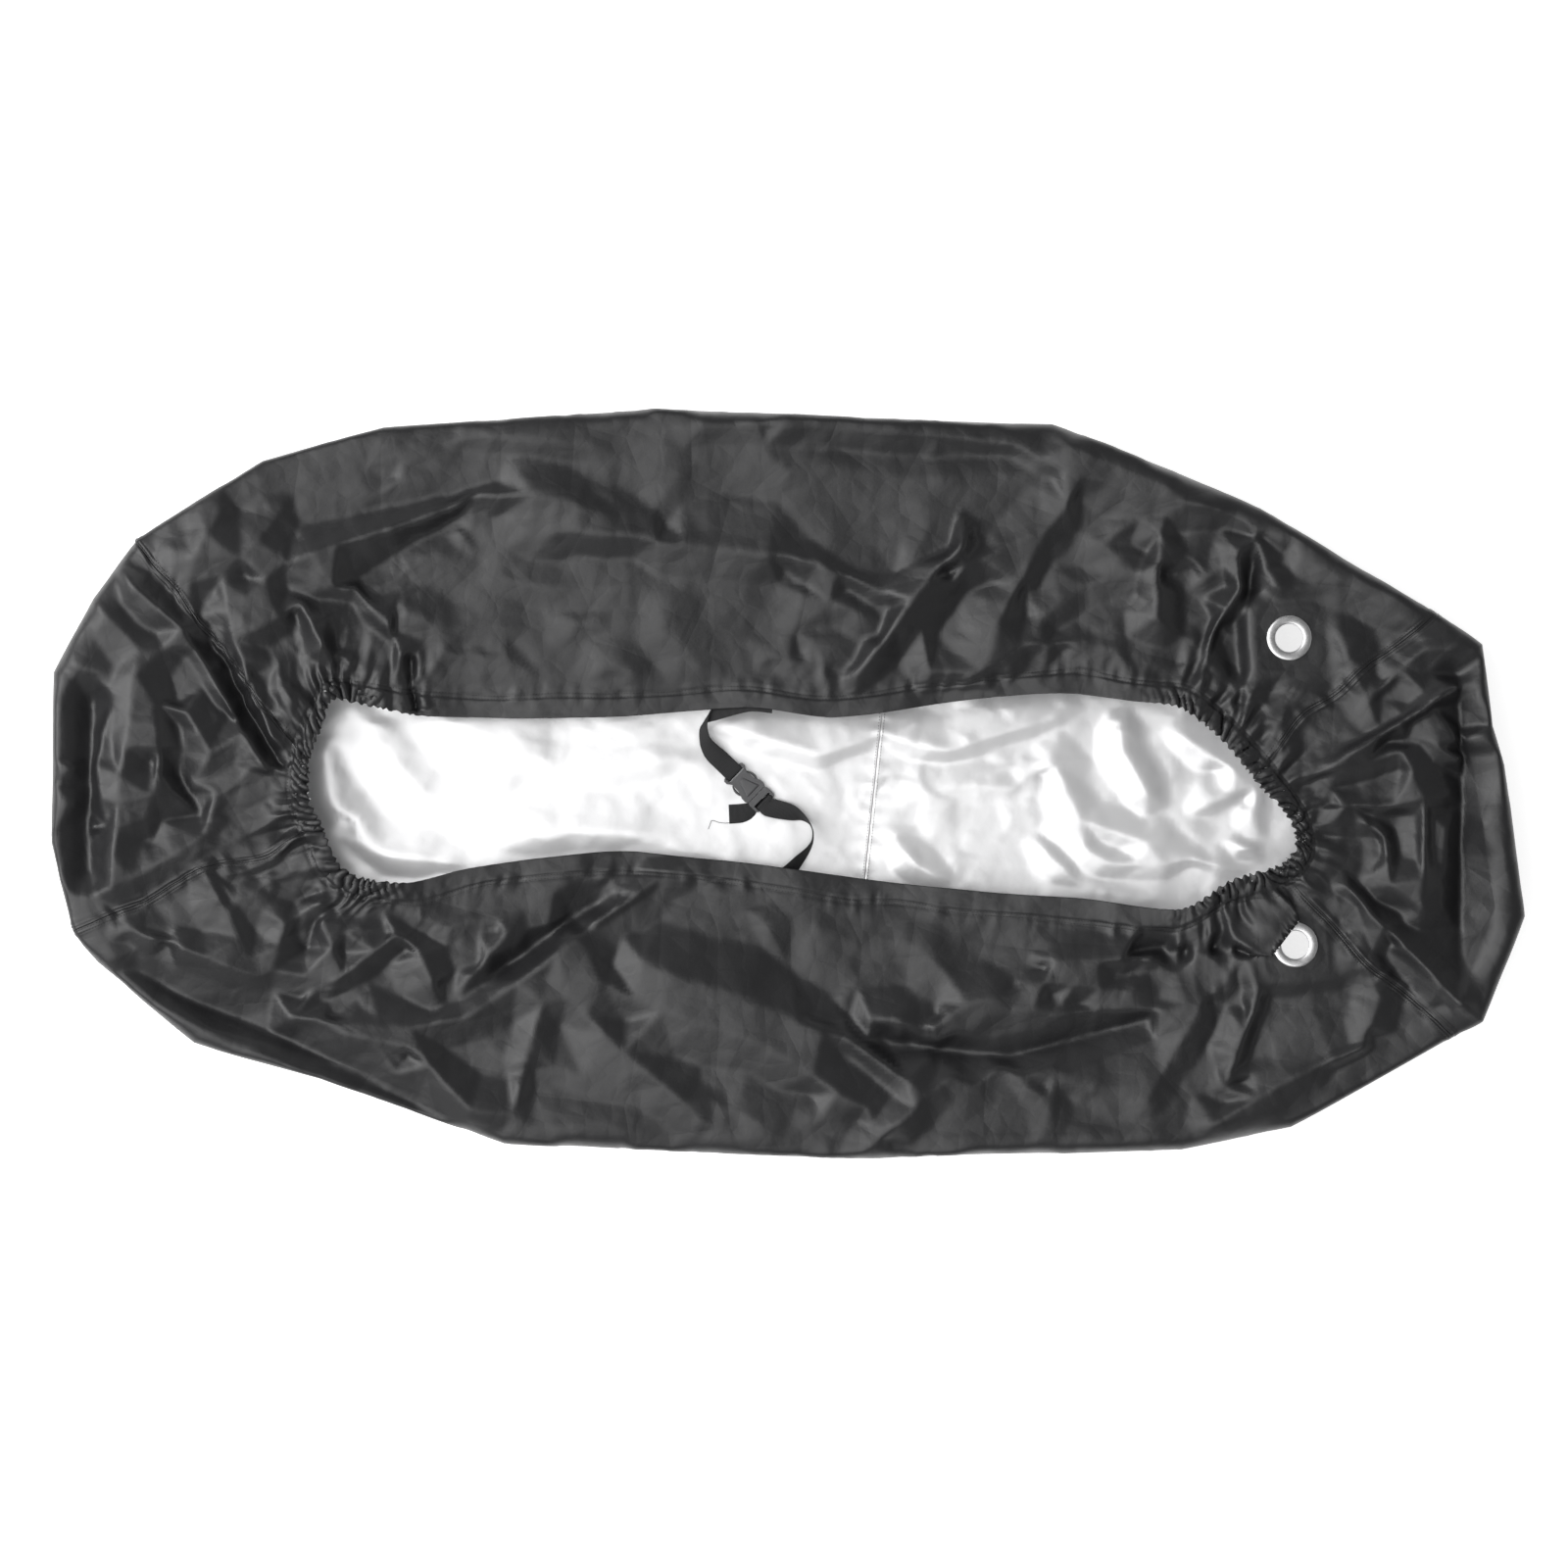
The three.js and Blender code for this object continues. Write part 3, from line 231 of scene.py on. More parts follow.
# Smaller folds, in the same columns
FINE_FOLDS = [
    (11, 12, 12, 0.2, 0.2, (-655, 156), (-650, 53)),
    (10, 12, 12, 0.2, 0.2, (-636, 166), (-642, 53)),
    (7, 16, 22, 0.3, 0.4, (-895, 240), (-857, 245)),
    (7, 18, 18, 0.3, 0.4, (-937, 163), (-867, 136)),
    (7, 20, 34, 0.3, 0.3, (-511, 229), (-460, 213), (-441, 175), (-473, 127)),
    (6, 22, 22, 0.4, 0.4, (-410, 184), (-359, 140)),
    (5, 22, 22, 0.4, 0.4, (-378, 203), (-384, 127)),
    (5, 60, 46, 0.3, 0.4, (-199, 268), (20, 259)),
    (7, 26, 30, 0.3, 0.3, (411, 309), (453, 271), (543, 324)),
    (6, 20, 24, 0.3, 0.4, (293, 258), (322, 295)),
    (6, 16, 16, 0.3, 0.3, (327, 415), (384, 394)),
    (7, 20, 20, 0.3, 0.4, (797, 60), (868, 43)),
    (7, 18, 18, 0.3, 0.4, (829, 99), (864, 70)),
    (6, 16, 22, 0.3, 0.3, (810, -38), (813, -159)),
    (7, 18, 18, 0.4, 0.4, (570, -378), (632, -368)),
    (7, 26, 26, 0.2, 0.4, (-100, -409), (-81, -479)),
    (7, 26, 30, 0.2, 0.4, (-100, -409), (-3, -451)),
    (7, 30, 30, 0.2, 0.4, (276, -368), (117, -464)),
    (7, 30, 30, 0.2, 0.4, (276, -368), (454, -406)),
    (9, 16, 20, 0.3, 0.3, (-581, -133), (-578, -178), (-568, -189), (-518, -180)),
    (14, 22, 26, 0.2, 0.2, (-340, -165), (-429, -273)),
    (8, 18, 22, 0.3, 0.3, (-658, -243), (-582, -250), (-509, -196)),
    (8, 16, 20, 0.3, 0.4, (-759, -102), (-749, -112), (-714, -133)),
    # upper rear
    (-11, 18, 18, 0.15, 0.3, (-397, 364), (-470, 321), (-555, 262)),
    (9, 20, 20, 0.2, 0.2, (-891, 237), (-829, 176)),
    (8, 22, 18, 0.2, 0.2, (-447, 440), (-389, 452), (-257, 438)),
    (4, 20, 22, 0.3, 0.3, (-242, 391), (-248, 371), (-209, 343)),
    (4, 22, 24, 0.3, 0.3, (-257, 438), (-192, 407), (-136, 395), (-169, 353), (-209, 343)),
    (8, 18, 22, 0.2, 0.1, (-139, 440), (-106, 462), (33, 466)),
    (7, 20, 20, 0.3, 0.4, (-497, 232), (-437, 179), (-361, 161)),
    (7, 20, 20, 0.3, 0.4, (-473, 126), (-437, 179), (-397, 219)),
    (7, 16, 18, 0.3, 0.3, (-377, 182), (-354, 153), (-315, 130)),
    (6, 18, 18, 0.3, 0.3, (-523, 455), (-499, 419), (-430, 431)),
    (6, 24, 18, 0.3, 0.4, (-569, 358), (-497, 391), (-377, 401)),
    (6, 20, 20, 0.3, 0.4, (-401, 272), (-308, 252), (-199, 254)),
    (5, 18, 18, 0.4, 0.4, (-298, 173), (-272, 209), (-225, 201)),
    (6, 16, 16, 0.3, 0.3, (-268, 130), (-225, 156), (-172, 130)),
    (6, 16, 18, 0.3, 0.3, (-40, 199), (-20, 169), (33, 156)),
    # upper front
    (8, 18, 22, 0.1, 0.2, (-27, 466), (132, 460), (291, 437), (330, 422)),
    (-6, 20, 20, 0.1, 0.2, (-27, 437), (138, 425), (324, 422)),
    (6, 18, 18, 0.3, 0.3, (49, 323), (59, 298), (125, 253)),
    (7, 18, 18, 0.3, 0.3, (125, 253), (162, 285), (211, 287)),
    (9, 22, 18, 0.2, 0.3, (446, 268), (383, 254), (330, 216), (304, 182)),
    (10, 20, 20, 0.2, 0.2, (486, 321), (542, 268), (581, 302)),
    (9, 16, 18, 0.2, 0.2, (558, 351), (640, 296)),
    (8, 22, 22, 0.2, 0.3, (558, 351), (456, 345), (429, 328), (406, 302)),
    (9, 18, 22, 0.2, 0.3, (674, 209), (727, 182), (747, 130), (740, 110)),
    (6, 14, 14, 0.3, 0.3, (588, 126), (674, 124)),
    (8, 20, 18, 0.3, 0.3, (793, 110), (846, 130), (889, 123)),
    (9, 22, 20, 0.3, 0.2, (763, 73), (863, 126)),
    (6, 20, 20, 0.3, 0.3, (-14, 209), (33, 182), (52, 139)),
    (6, 18, 18, 0.3, 0.3, (-27, 169), (13, 196), (92, 169)),
    (6, 18, 18, 0.3, 0.3, (363, 156), (429, 169), (449, 130)),
    (7, 14, 14, 0.3, 0.3, (9, 130), (46, 156), (59, 103)),
    (8, 20, 20, 0.3, 0.3, (595, 130), (628, 77), (634, 37)),
    (7, 20, 18, 0.3, 0.3, (618, 282), (687, 255), (701, 222)),
    # lower rear
    (10, 18, 20, 0.2, 0.2, (-806, 24), (-761, -46), (-743, -46), (-720, -21)),
    (8, 18, 18, 0.3, 0.3, (-761, -108), (-745, -122), (-708, -155), (-645, -175)),
    (9, 18, 18, 0.2, 0.3, (-669, -234), (-629, -168), (-602, -142)),
    (9, 16, 18, 0.2, 0.2, (-637, -297), (-609, -261), (-575, -246)),
    (11, 18, 18, 0.2, 0.1, (-526, -155), (-506, -196)),
    (8, 22, 18, 0.2, 0.3, (-166, -135), (-258, -191)),
    (5, 22, 18, 0.3, 0.3, (-361, -373), (-298, -360), (-222, -396)),
    (5, 22, 22, 0.3, 0.3, (-222, -396), (-166, -393), (-106, -443)),
    (7, 18, 18, 0.2, 0.3, (-870, -204), (-837, -191), (-794, -198)),
    (7, 16, 16, 0.3, 0.3, (-377, -175), (-364, -191), (-344, -201)),
    (6, 18, 18, 0.3, 0.4, (-497, -165), (-437, -185), (-377, -168)),
    (7, 16, 18, 0.3, 0.3, (-37, -155), (-20, -188), (6, -175)),
    (6, 22, 26, 0.3, 0.3, (-361, -443), (-232, -439), (-182, -446)),
    (8, 20, 22, 0.2, 0.3, (-874, -56), (-887, 24), (-880, 64)),
    (6, 22, 22, 0.3, 0.3, (-569, -287), (-536, -333), (-497, -360)),
    # lower front
    (9, 18, 22, 0.2, 0.2, (178, -307), (191, -333), (291, -294), (476, -294), (549, -280),
     (592, -224)),
    (7, 16, 16, 0.3, 0.2, (112, -307), (178, -314)),
    (9, 20, 18, 0.2, 0.2, (109, -340), (178, -400), (218, -370)),
    (-9, 20, 20, 0.2, 0.2, (59, -274), (109, -333), (178, -396)),
    (7, 22, 20, 0.2, 0.3, (277, -370), (370, -426)),
    (8, 20, 22, 0.2, 0.2, (340, -366), (463, -405), (549, -274)),
    (8, 18, 20, 0.2, 0.3, (565, -393), (641, -366), (754, -327)),
    (10, 20, 20, 0.2, 0.2, (701, -128), (724, -125), (767, -247)),
    (6, 18, 18, 0.3, 0.3, (66, -307), (52, -267), (92, -254)),
    (7, 18, 18, 0.3, 0.3, (13, -439), (105, -413), (115, -466)),
    (6, 22, 22, 0.3, 0.3, (142, -188), (198, -234), (185, -280)),
    (6, 22, 22, 0.3, 0.4, (343, -360), (334, -472)),
    (7, 16, 16, 0.2, 0.3, (568, -393), (608, -393), (634, -373)),
    (7, 18, 22, 0.3, 0.3, (740, -36), (767, -89), (740, -128)),
    (8, 18, 18, 0.2, 0.3, (777, -214), (833, -254), (863, -307)),
]

# Straight creases left by packing, in the same columns, and the deep pleat behind the upper hem's
# rear end
LINE_CREASES = [
    (0.35, 7, 12, 0.2, 0.2, (-102, 406), (-102, 140)),
    (0.35, 7, 12, 0.2, 0.2, (336, 444), (336, 203)),
    (0.35, 7, 12, 0.3, 0.3, (283, 457), (283, 381)),
    (0.35, 7, 12, 0.2, 0.2, (-204, 457), (-204, 140)),
    (0.35, 7, 12, 0.2, 0.2, (111, 444), (111, 140)),
    (0.35, 7, 12, 0.2, 0.2, (-581, 406), (-581, 178)),
    (-17, 11, 9, 0.06, 0.06, (-488, 168), (-486, 132), (-480, 92)),
    (4, 9, 26, 0.1, 0.06, (-476, 172), (-473, 132), (-467, 96)),
]

# Low folds of the strip where it lies on the floor
FLOOR_FOLDS = [
    (7, 22, 19, 0.3, 0.3, (-579, -60), (-516, -93), (-417, -101)),
    (8, 22, 16, 0.2, 0.2, (-101, 80), (43, 39), (123, 66)),
    (8, 22, 16, 0.2, 0.2, (123, 62), (206, 44), (350, 89), (386, 107)),
    (12, 24, 16, 0.2, 0.2, (436, 98), (440, 44), (485, -38)),
    (8, 17, 17, 0.2, 0.2, (296, 8), (350, 26), (368, -10), (386, -47), (531, -96)),
    (7, 17, 17, 0.2, 0.2, (332, -51), (422, -101), (603, -110)),
    (5, 17, 17, 0.3, 0.3, (143, -24), (224, -1), (332, -6)),
    (8, 14, 17, 0.2, 0.3, (134, -74), (179, -110), (215, -132)),
    (6, 17, 17, 0.3, 0.3, (314, -65), (386, -128)),
    (9, 17, 17, 0.2, 0.2, (494, 75), (612, -1)),
    (8, 14, 14, 0.2, 0.2, (521, -38), (603, -1), (616, -74)),
    (8, 14, 14, 0.2, 0.2, (576, -65), (621, -101)),
    (6, 22, 22, 0.3, 0.3, (-602, 57), (-588, -28), (-525, -83)),
    (5, 22, 22, 0.3, 0.3, (-574, 111), (-471, -19), (-426, -21)),
    (5, 29, 22, 0.3, 0.3, (-471, 89), (-344, 44), (-426, -19)),
    (5, 22, 22, 0.3, 0.3, (-299, 8), (-137, 35), (-101, -1)),
    (6, 19, 19, 0.3, 0.3, (-408, -74), (-263, -60), (-137, -66)),
]

# The crease in the silver that shows through the lower eyelet, in the same columns
EYELET_CREASE = (-7, 9, 9, 0.2, 0.2, (673, -182), (640, -226))

# Stretches of the hem that the elastic draws in, from section to section
GATHERS = [(-8.2, 4.4), (12.2, 24.4)]
# Pleats drawn in there: pitch along the hem, height, and how far in from the hem they reach
PLEATS = [(10.5, 3.0, 36), (19, 3.0, 70), (61, 4.0, 230)]
# Ridges drawn in there: the least and widest gap between two, how far in they start, their least
# length, and the most that is added to it
GATHER_GAP, GATHER_START, GATHER_SHORT, GATHER_LONG = (7, 14), 20, 26, 120

# The net of facets that the folds stretch
NET_STEP, GATHER_STEP = 34, 24  # spacing of points along a fold and along a gather
NET_NEAR, GATHER_NEAR = 11, 4  # nearer than this to a point of the net, a new one is the same
RISE = 0.85  # height as a share of the table's
SKIRT = 6  # how much wider than in the table the flanks are
LIT_FLANK = 1.7  # and how many times, where a flank faces the light
FOOT = -0.15  # height at the foot of a flank, as a share of the fold's there
MEETING = 0.7  # share of its height that a fold keeps where it meets another
MEETING_REACH = 16  # how near two folds' points are where they meet
ROOM = 0.6  # share of its own room within which a point off the folds has no other, or is left out
RIM_ROOM = 40  # the room of the rim's points
NET_PITCH, NET_ROUGH, NET_SEED = 56, 3.4, 8  # spacing, height and seed of the points off the folds
FLOOR_PITCH, FLOOR_ROUGH, FLOOR_SEED = 64, 2.0, 12  # the same on the floor
# The height map that the net is drawn into: lowest x and y, spacing, and size in each direction
MAP_LOW, MAP_STEP, MAP_SIZE = (-1000, -520), 2.5, (801, 417)

# Crumple of the floor: height, size of its facets, and seed; and where along the cover it fades out
FLOOR_CREASES = [(3.0, 120, 31), (2.0, 46, 35), (1.1, 27, 37)]
FLOOR_END, FLOOR_FADE = 900, 90
# Creases of the top change from those of the middle to those of the ends: from where, and over
# what length
END_START, END_BLEND = 300, 260


# Small maths

LATTICE = 64  # cells along each side of a lattice of random numbers, after which it repeats
NOTHING = 1e-6  # what is smaller counts as nothing


def mix(a, b, t):
    """The value a share t of the way from a to b."""
    return a + (b - a) * t


def smooth(t):
    """A step that rises from 0 to 1 as t does, level at both ends."""
    s = np.clip(t, 0, 1)
    return s * s * (3 - 2 * s)


def bell(x, width):
    """A hump of height 1 round 0 that fades to about a third at the width."""
    return np.exp(-(x / width) ** 2)


def bend(b, c, start, end, t):
    """The cubic from b to c that leaves with the slope start and arrives with the slope end."""
    return (b + t * start + t * t * (3 * (c - b) - 2 * start - end)
            + t ** 3 * (2 * (b - c) + start + end))


def distances(path):
    """Length walked along a path in plan, from its first point."""
    return np.concatenate([[0], np.cumsum(np.hypot(*np.diff(path, axis=0).T))])


def cells(x, y, size):
    """The lattice cells, of a given size, that places lie in."""
    return np.floor(x / size).astype(int), np.floor(y / size).astype(int)


def noise(x, y, size, seed):
    """Random numbers from -1 to 1 on a square lattice of the given size, blended smoothly
    between."""
    lattice = np.random.default_rng(seed).uniform(-1, 1, (LATTICE, LATTICE))
    i, j = cells(x, y, size)
    s, t = smooth(x / size - i), smooth(y / size - j)
    low, high = (mix(lattice[i % LATTICE, k % LATTICE], lattice[(i + 1) % LATTICE, k % LATTICE], s)
                 for k in (j, j + 1))
    return mix(low, high, t)


def facets(x, y, size, seed):
    """Creased facets: round each jittered lattice point stands a leaning, slightly domed plane,
    and the highest plane shows, so that neighbours meet in a sharp crease."""
    rng = np.random.default_rng(seed)
    jx, jy, gx, gy, level = rng.uniform(-1, 1, (5, LATTICE, LATTICE))
    i, j = cells(x, y, size)
    best = np.full(x.shape, -9.0)
    for di in (-1, 0, 1):
        for dj in (-1, 0, 1):
            k = ((i + di) % LATTICE, (j + dj) % LATTICE)
            dx = x / size - (i + di + 0.5 + 0.42 * jx[k])
            dy = y / size - (j + dj + 0.5 + 0.42 * jy[k])
            away = dx * dx + dy * dy
            plane = 0.25 * level[k] + 0.7 * (gx[k] * dx + gy[k] * dy) - 0.5 * away
            plane -= 3 * np.maximum(0, away - 0.65) ** 2
            best = np.maximum(best, plane)
    return best


def crumple(x, y, size, seed):
    """Facets with creases that point both up and down: one set of facets less another."""
    return facets(x, y, size, seed) - facets(x + 0.37 * size, y + 0.71 * size, size, seed + 1)


def periodic(values, u, rounded):
    """A curve through a closed list of values at whole u: from straight for 0 to fully rounded
    for 1."""
    i = np.floor(u).astype(int)
    t = u - i
    a, b, c, d = (values[(i + k) % ROUND] for k in (-1, 0, 1, 2))
    return bend(b, c, mix(c - b, (c - a) / 2, rounded), mix(c - b, (d - b) / 2, rounded), t)


# The surface

def section(u):
    """All columns of the table at u, and the direction and length from the crest to the hem."""
    s = {name: periodic(SECTIONS[:, i], u, rounded)
         for i, (name, rounded) in enumerate(COLUMNS.items())}
    whole = np.hypot(s["hx"] - s["ox"], s["hy"] - s["oy"])
    s["dx"] = (s["hx"] - s["ox"]) / whole
    s["dy"] = (s["hy"] - s["oy"]) / whole
    s["span"] = whole - s["roll"]
    s["round"] = OUTLINE_SHARE * hem_length(u)
    s["crest"] = s["crest"] + 5 * noise(s["round"], 0 * s["round"], 230, 54)
    return s


def fold_height(fold, x, y, tip):
    """A ridge along the fold's line whose flanks flatten as they go out, with both ends
    tapered."""
    height, left, right, rise, fade, *points = fold
    points = np.array(points, float)
    steps = np.diff(points, axis=0)
    lengths = np.hypot(*steps.T)
    nearest = np.full(x.shape, np.inf)
    along, side, passed = np.zeros(x.shape), np.ones(x.shape), 0.0
    for (ax, ay), (dx, dy), length in zip(points, steps / lengths[:, None], lengths):
        s = np.clip((x - ax) * dx + (y - ay) * dy, 0, length)
        away = np.hypot(x - ax - dx * s, y - ay - dy * s)
        closer = away < nearest
        nearest = np.where(closer, away, nearest)
        along = np.where(closer, (passed + s) / lengths.sum(), along)
        side = np.where(closer, dx * (y - ay) - dy * (x - ax), side)
        passed += length
    ends = np.minimum(1, np.minimum(along / rise, (1 - along) / fade))
    width = mix(right, left, smooth(0.5 + side / (0.5 * (left + right)))) * (0.3 + 0.7 * ends)
    away = np.hypot(nearest, tip) - tip
    return height * ends * np.maximum(0, 1 - away / width) ** 1.6


def relief(folds, x, y, tip):
    """The highest ridge at each place, less the deepest groove. The tip is the radius of their
    backs."""
    high, low = np.zeros(x.shape), np.zeros(x.shape)
    for fold in folds:
        h = fold_height(fold, x, y, tip)
        high, low = np.maximum(high, h), np.minimum(low, h)
    return high + low


def gathered(u):
    """How far u is into a gathered stretch: 0 outside, rising to 1 inside."""
    strength = np.full(np.shape(u), -9.0)
    for start, end in GATHERS:
        for turn in (-ROUND, 0, ROUND):
            strength = np.maximum(strength, np.minimum(u + turn - start, end - u - turn))
    return smooth(strength)


HEM_LENGTHS = distances(SECTIONS[[*range(ROUND), 0], 2:4])


def hem_length(u):
    """Length of the hem's line from section 0 to u."""
    return np.interp(np.mod(u, ROUND), np.arange(ROUND + 1), HEM_LENGTHS)


def gather_folds():
    """Ridges and grooves in turn that run from the casing into the cloth, as rows like the
    tables'."""
    rng = np.random.default_rng(5)
    rows = []
    for start, end in GATHERS:
        u = np.linspace(start + 0.3, end - 0.3, 400)
        s = section(u)
        at = distances(np.column_stack([s["hx"], s["hy"]]))
        stops = np.cumsum(rng.uniform(*GATHER_GAP, 200))
        stops = stops[stops < at[-1]]
        for k, stop in enumerate(stops):
            hx, hy, dx, dy = (np.interp(stop, at, s[name]) for name in ("hx", "hy", "dx", "dy"))
            near_end = min(1, min(stop, at[-1] - stop) / 60)
            length = (GATHER_SHORT + GATHER_LONG * rng.uniform() ** 2.2) * (0.5 + 0.5 * near_end)
            height = (3.5 + length / 20) * (1 if k % 2 else -0.8)
            veer = rng.uniform(-0.12, 0.12)
            points = [(hx - (GATHER_START + length * t) * dx - length * t * veer * dy,
                       hy - (GATHER_START + length * t) * dy + length * t * veer * dx)
                      for t in (0, 0.5, 1)]
            rows.append((height, 0, 0, 0.12, 0.75, *points))
    return rows


def fold_samples(fold, others):
    """Points along a fold with their heights: the height grows from each end, and starts higher
    there where the end meets another fold."""
    height, left, _, rise, fade, *points = fold
    points = np.array(points, float)
    walk = distances(points)
    step = NET_STEP if left else GATHER_STEP
    at = np.concatenate([np.linspace(a, b, max(1, round((b - a) / step)), endpoint=False)
                         for a, b in zip(walk, walk[1:])] + [walk[-1:]])
    x, y = np.interp(at, walk, points[:, 0]), np.interp(at, walk, points[:, 1])
    first, last = (MEETING if (np.hypot(*(others - end).T) < MEETING_REACH).sum() > 1 else 0.0
                   for end in points[[0, -1]])
    share = at / walk[-1]
    level = np.minimum(first + (1 - first) * share / rise, last + (1 - last) * (1 - share) / fade)
    return x, y, RISE * height * np.clip(level, 0, 1)


def fold_net(tables, pitch, rough, seed):
    """The net's points (x, y, height) and the pairs of them that a crease joins: along each fold,
    at the feet of its flanks where nothing else is near, along the rim, and on a jittered lattice
    between."""
    corners = np.array([point for row in tables if row[1] for point in row[5:]], float)
    rng = np.random.default_rng(seed)
    net, creases_in_net, feet = np.zeros((0, 3)), [], []
    for row in tables:
        left, right = row[1:3]
        x, y, h = fold_samples(row, corners if left else np.zeros((1, 2)))
        numbers = []
        for point in zip(x, y, h):
            away = np.hypot(net[:, 0] - point[0], net[:, 1] - point[1])
            if away.min(initial=math.inf) < (NET_NEAR if left else GATHER_NEAR):
                k = int(away.argmin())
                net[k, 2] = max(net[k, 2], point[2], key=abs)
            else:
                k = len(net)
                net = np.vstack([net, point])
            numbers.append(k)
        creases_in_net += [(a, b) for a, b in zip(numbers, numbers[1:]) if a != b]
        if not left:
            continue
        ax, ay = np.gradient(x), np.gradient(y)
        norm = np.hypot(ax, ay)
        grown = 0.4 + 0.6 * np.abs(h) / (RISE * abs(row[0]))
        for side, width in ((1, left), (-1, right)):
            lit = side * (ax * 0.7 + ay * 0.7) / norm
            w = (width + SKIRT) * grown * mix(1, LIT_FLANK, smooth(0.5 + lit))
            w = w + rng.uniform(-3, 3, len(x))
            feet.append(np.stack([x - side * w * ay / norm, y + side * w * ax / norm, FOOT * h, w],
                                 axis=1))
    u = np.arange(ROUND * 2) / 2
    s = section(u)
    rim = np.stack([s["ox"] + s["dx"] * s["roll"], s["oy"] + s["dy"] * s["roll"],
                    0 * u, 0 * u + RIM_ROOM], axis=1)
    i, j = np.meshgrid(np.arange(MAP_LOW[0], -MAP_LOW[0] + 1, pitch),
                       np.arange(MAP_LOW[1], -MAP_LOW[1] + 1, pitch))
    shake = rng.uniform(-1, 1, (3, i.size))
    between = np.stack([i.ravel() + 0.4 * pitch * shake[0], j.ravel() + 0.4 * pitch * shake[1],
                        rough * shake[2], np.full(i.size, pitch)], axis=1)
    corner = np.array([(a * 1100, b * 620, 0, 0) for a in (-1, 1) for b in (-1, 1)], float)
    for x, y, h, room in np.concatenate([*feet, rim, between, corner]):
        if np.hypot(net[:, 0] - x, net[:, 1] - y).min() > ROOM * room:
            net = np.vstack([net, (x, y, h)])
    return net, creases_in_net


def fold_map(net, lines):
    """Heights of the net on an even grid: the triangles between its points, with the creases as
    edges, rounded by one pass of averages over neighbours."""
    places = [Vector(point) for point in net[:, :2]]
    found, _, triangles, origin, _, _ = delaunay_2d_cdt(places, lines, [], 0, 0.01)
    corners = np.array([tuple(p) for p in found])
    height = np.array([net[o[0], 2] if o else np.nan for o in origin])
    triangles = np.array(triangles)
    for k in np.nonzero(np.isnan(height))[0]:
        near = np.unique(triangles[(triangles == k).any(axis=1)])
        height[k] = np.nanmean(height[near])
    grid = np.zeros(MAP_SIZE)
    for a, b, c in triangles:
        (ax, ay), (bx, by), (cx, cy) = ((corners[[a, b, c]] - MAP_LOW) / MAP_STEP)
        (i0, i1), (j0, j1) = (
            (max(0, math.ceil(min(values))), min(size, math.floor(max(values)) + 1))
            for values, size in zip(((ax, bx, cx), (ay, by, cy)), MAP_SIZE))
        area = (bx - ax) * (cy - ay) - (cx - ax) * (by - ay)
        if i0 >= i1 or j0 >= j1 or abs(area) < NOTHING:
            continue
        i, j = np.arange(i0, i1)[:, None], np.arange(j0, j1)[None, :]
        to_b = ((i - ax) * (cy - ay) - (cx - ax) * (j - ay)) / area
        to_c = ((bx - ax) * (j - ay) - (i - ax) * (by - ay)) / area
        inside = (to_b >= -NOTHING) & (to_c >= -NOTHING) & (to_b + to_c <= 1 + NOTHING)
        plane = height[a] + to_b * (height[b] - height[a]) + to_c * (height[c] - height[a])
        grid[i0:i1, j0:j1][inside] = plane[inside]
    for axis in (0, 1):
        grid = (np.roll(grid, 1, axis) + 2 * grid + np.roll(grid, -1, axis)) / 4
    return grid


def sample(grid, x, y):
    """A height map's value between its points."""
    i, j = (x - MAP_LOW[0]) / MAP_STEP, (y - MAP_LOW[1]) / MAP_STEP
    i, j = np.clip(i, 0, MAP_SIZE[0] - 2.001), np.clip(j, 0, MAP_SIZE[1] - 2.001)
    a, b = i.astype(int), j.astype(int)
    s, t = i - a, j - b
    return mix(mix(grid[a, b], grid[a + 1, b], s), mix(grid[a, b + 1], grid[a + 1, b + 1], s), t)


ALL_FOLDS = TOP_FOLDS + FINE_FOLDS + gather_folds()
TOP_MAP = fold_map(*fold_net(ALL_FOLDS, NET_PITCH, NET_ROUGH, NET_SEED))
FLOOR_MAP = fold_map(*fold_net(FLOOR_FOLDS, FLOOR_PITCH, FLOOR_ROUGH, FLOOR_SEED))


def contact(u):
    """Where the rim meets the floor, in plan."""
    s = section(u)
    return s["ox"] + s["dx"] * LOW_ROLL, s["oy"] + s["dy"] * LOW_ROLL


def on_seam(start, end, x):
    """The place at x on the straight seam between the floor ends of two sections."""
    (ax, ay), (bx, by) = contact(np.array(float(start))), contact(np.array(float(end)))
    return x, mix(ay, by, (x - ax) / (bx - ax))


CROSS_UPPER = on_seam(REAR_UPPER, FRONT_UPPER, CROSS_UPPER_X)
CROSS_LOWER = on_seam(REAR_LOWER, FRONT_LOWER, CROSS_LOWER_X)

# The four pieces of cloth: the sections they span, the ends of their floor seam (for a side panel,
# those of its sections), and the grid rows of their floor
PANELS = {
    "side_upper": (REAR_UPPER, FRONT_UPPER, None, None, SIDE_FLOOR_ROWS),
    "strip_front": (FRONT_UPPER, FRONT_LOWER, CROSS_UPPER, CROSS_LOWER, STRIP_FLOOR_ROWS),
    "side_lower": (FRONT_LOWER, REAR_LOWER, None, None, SIDE_FLOOR_ROWS),
    "strip_rear": (REAR_LOWER, ROUND, CROSS_LOWER, CROSS_UPPER, STRIP_FLOOR_ROWS),
}


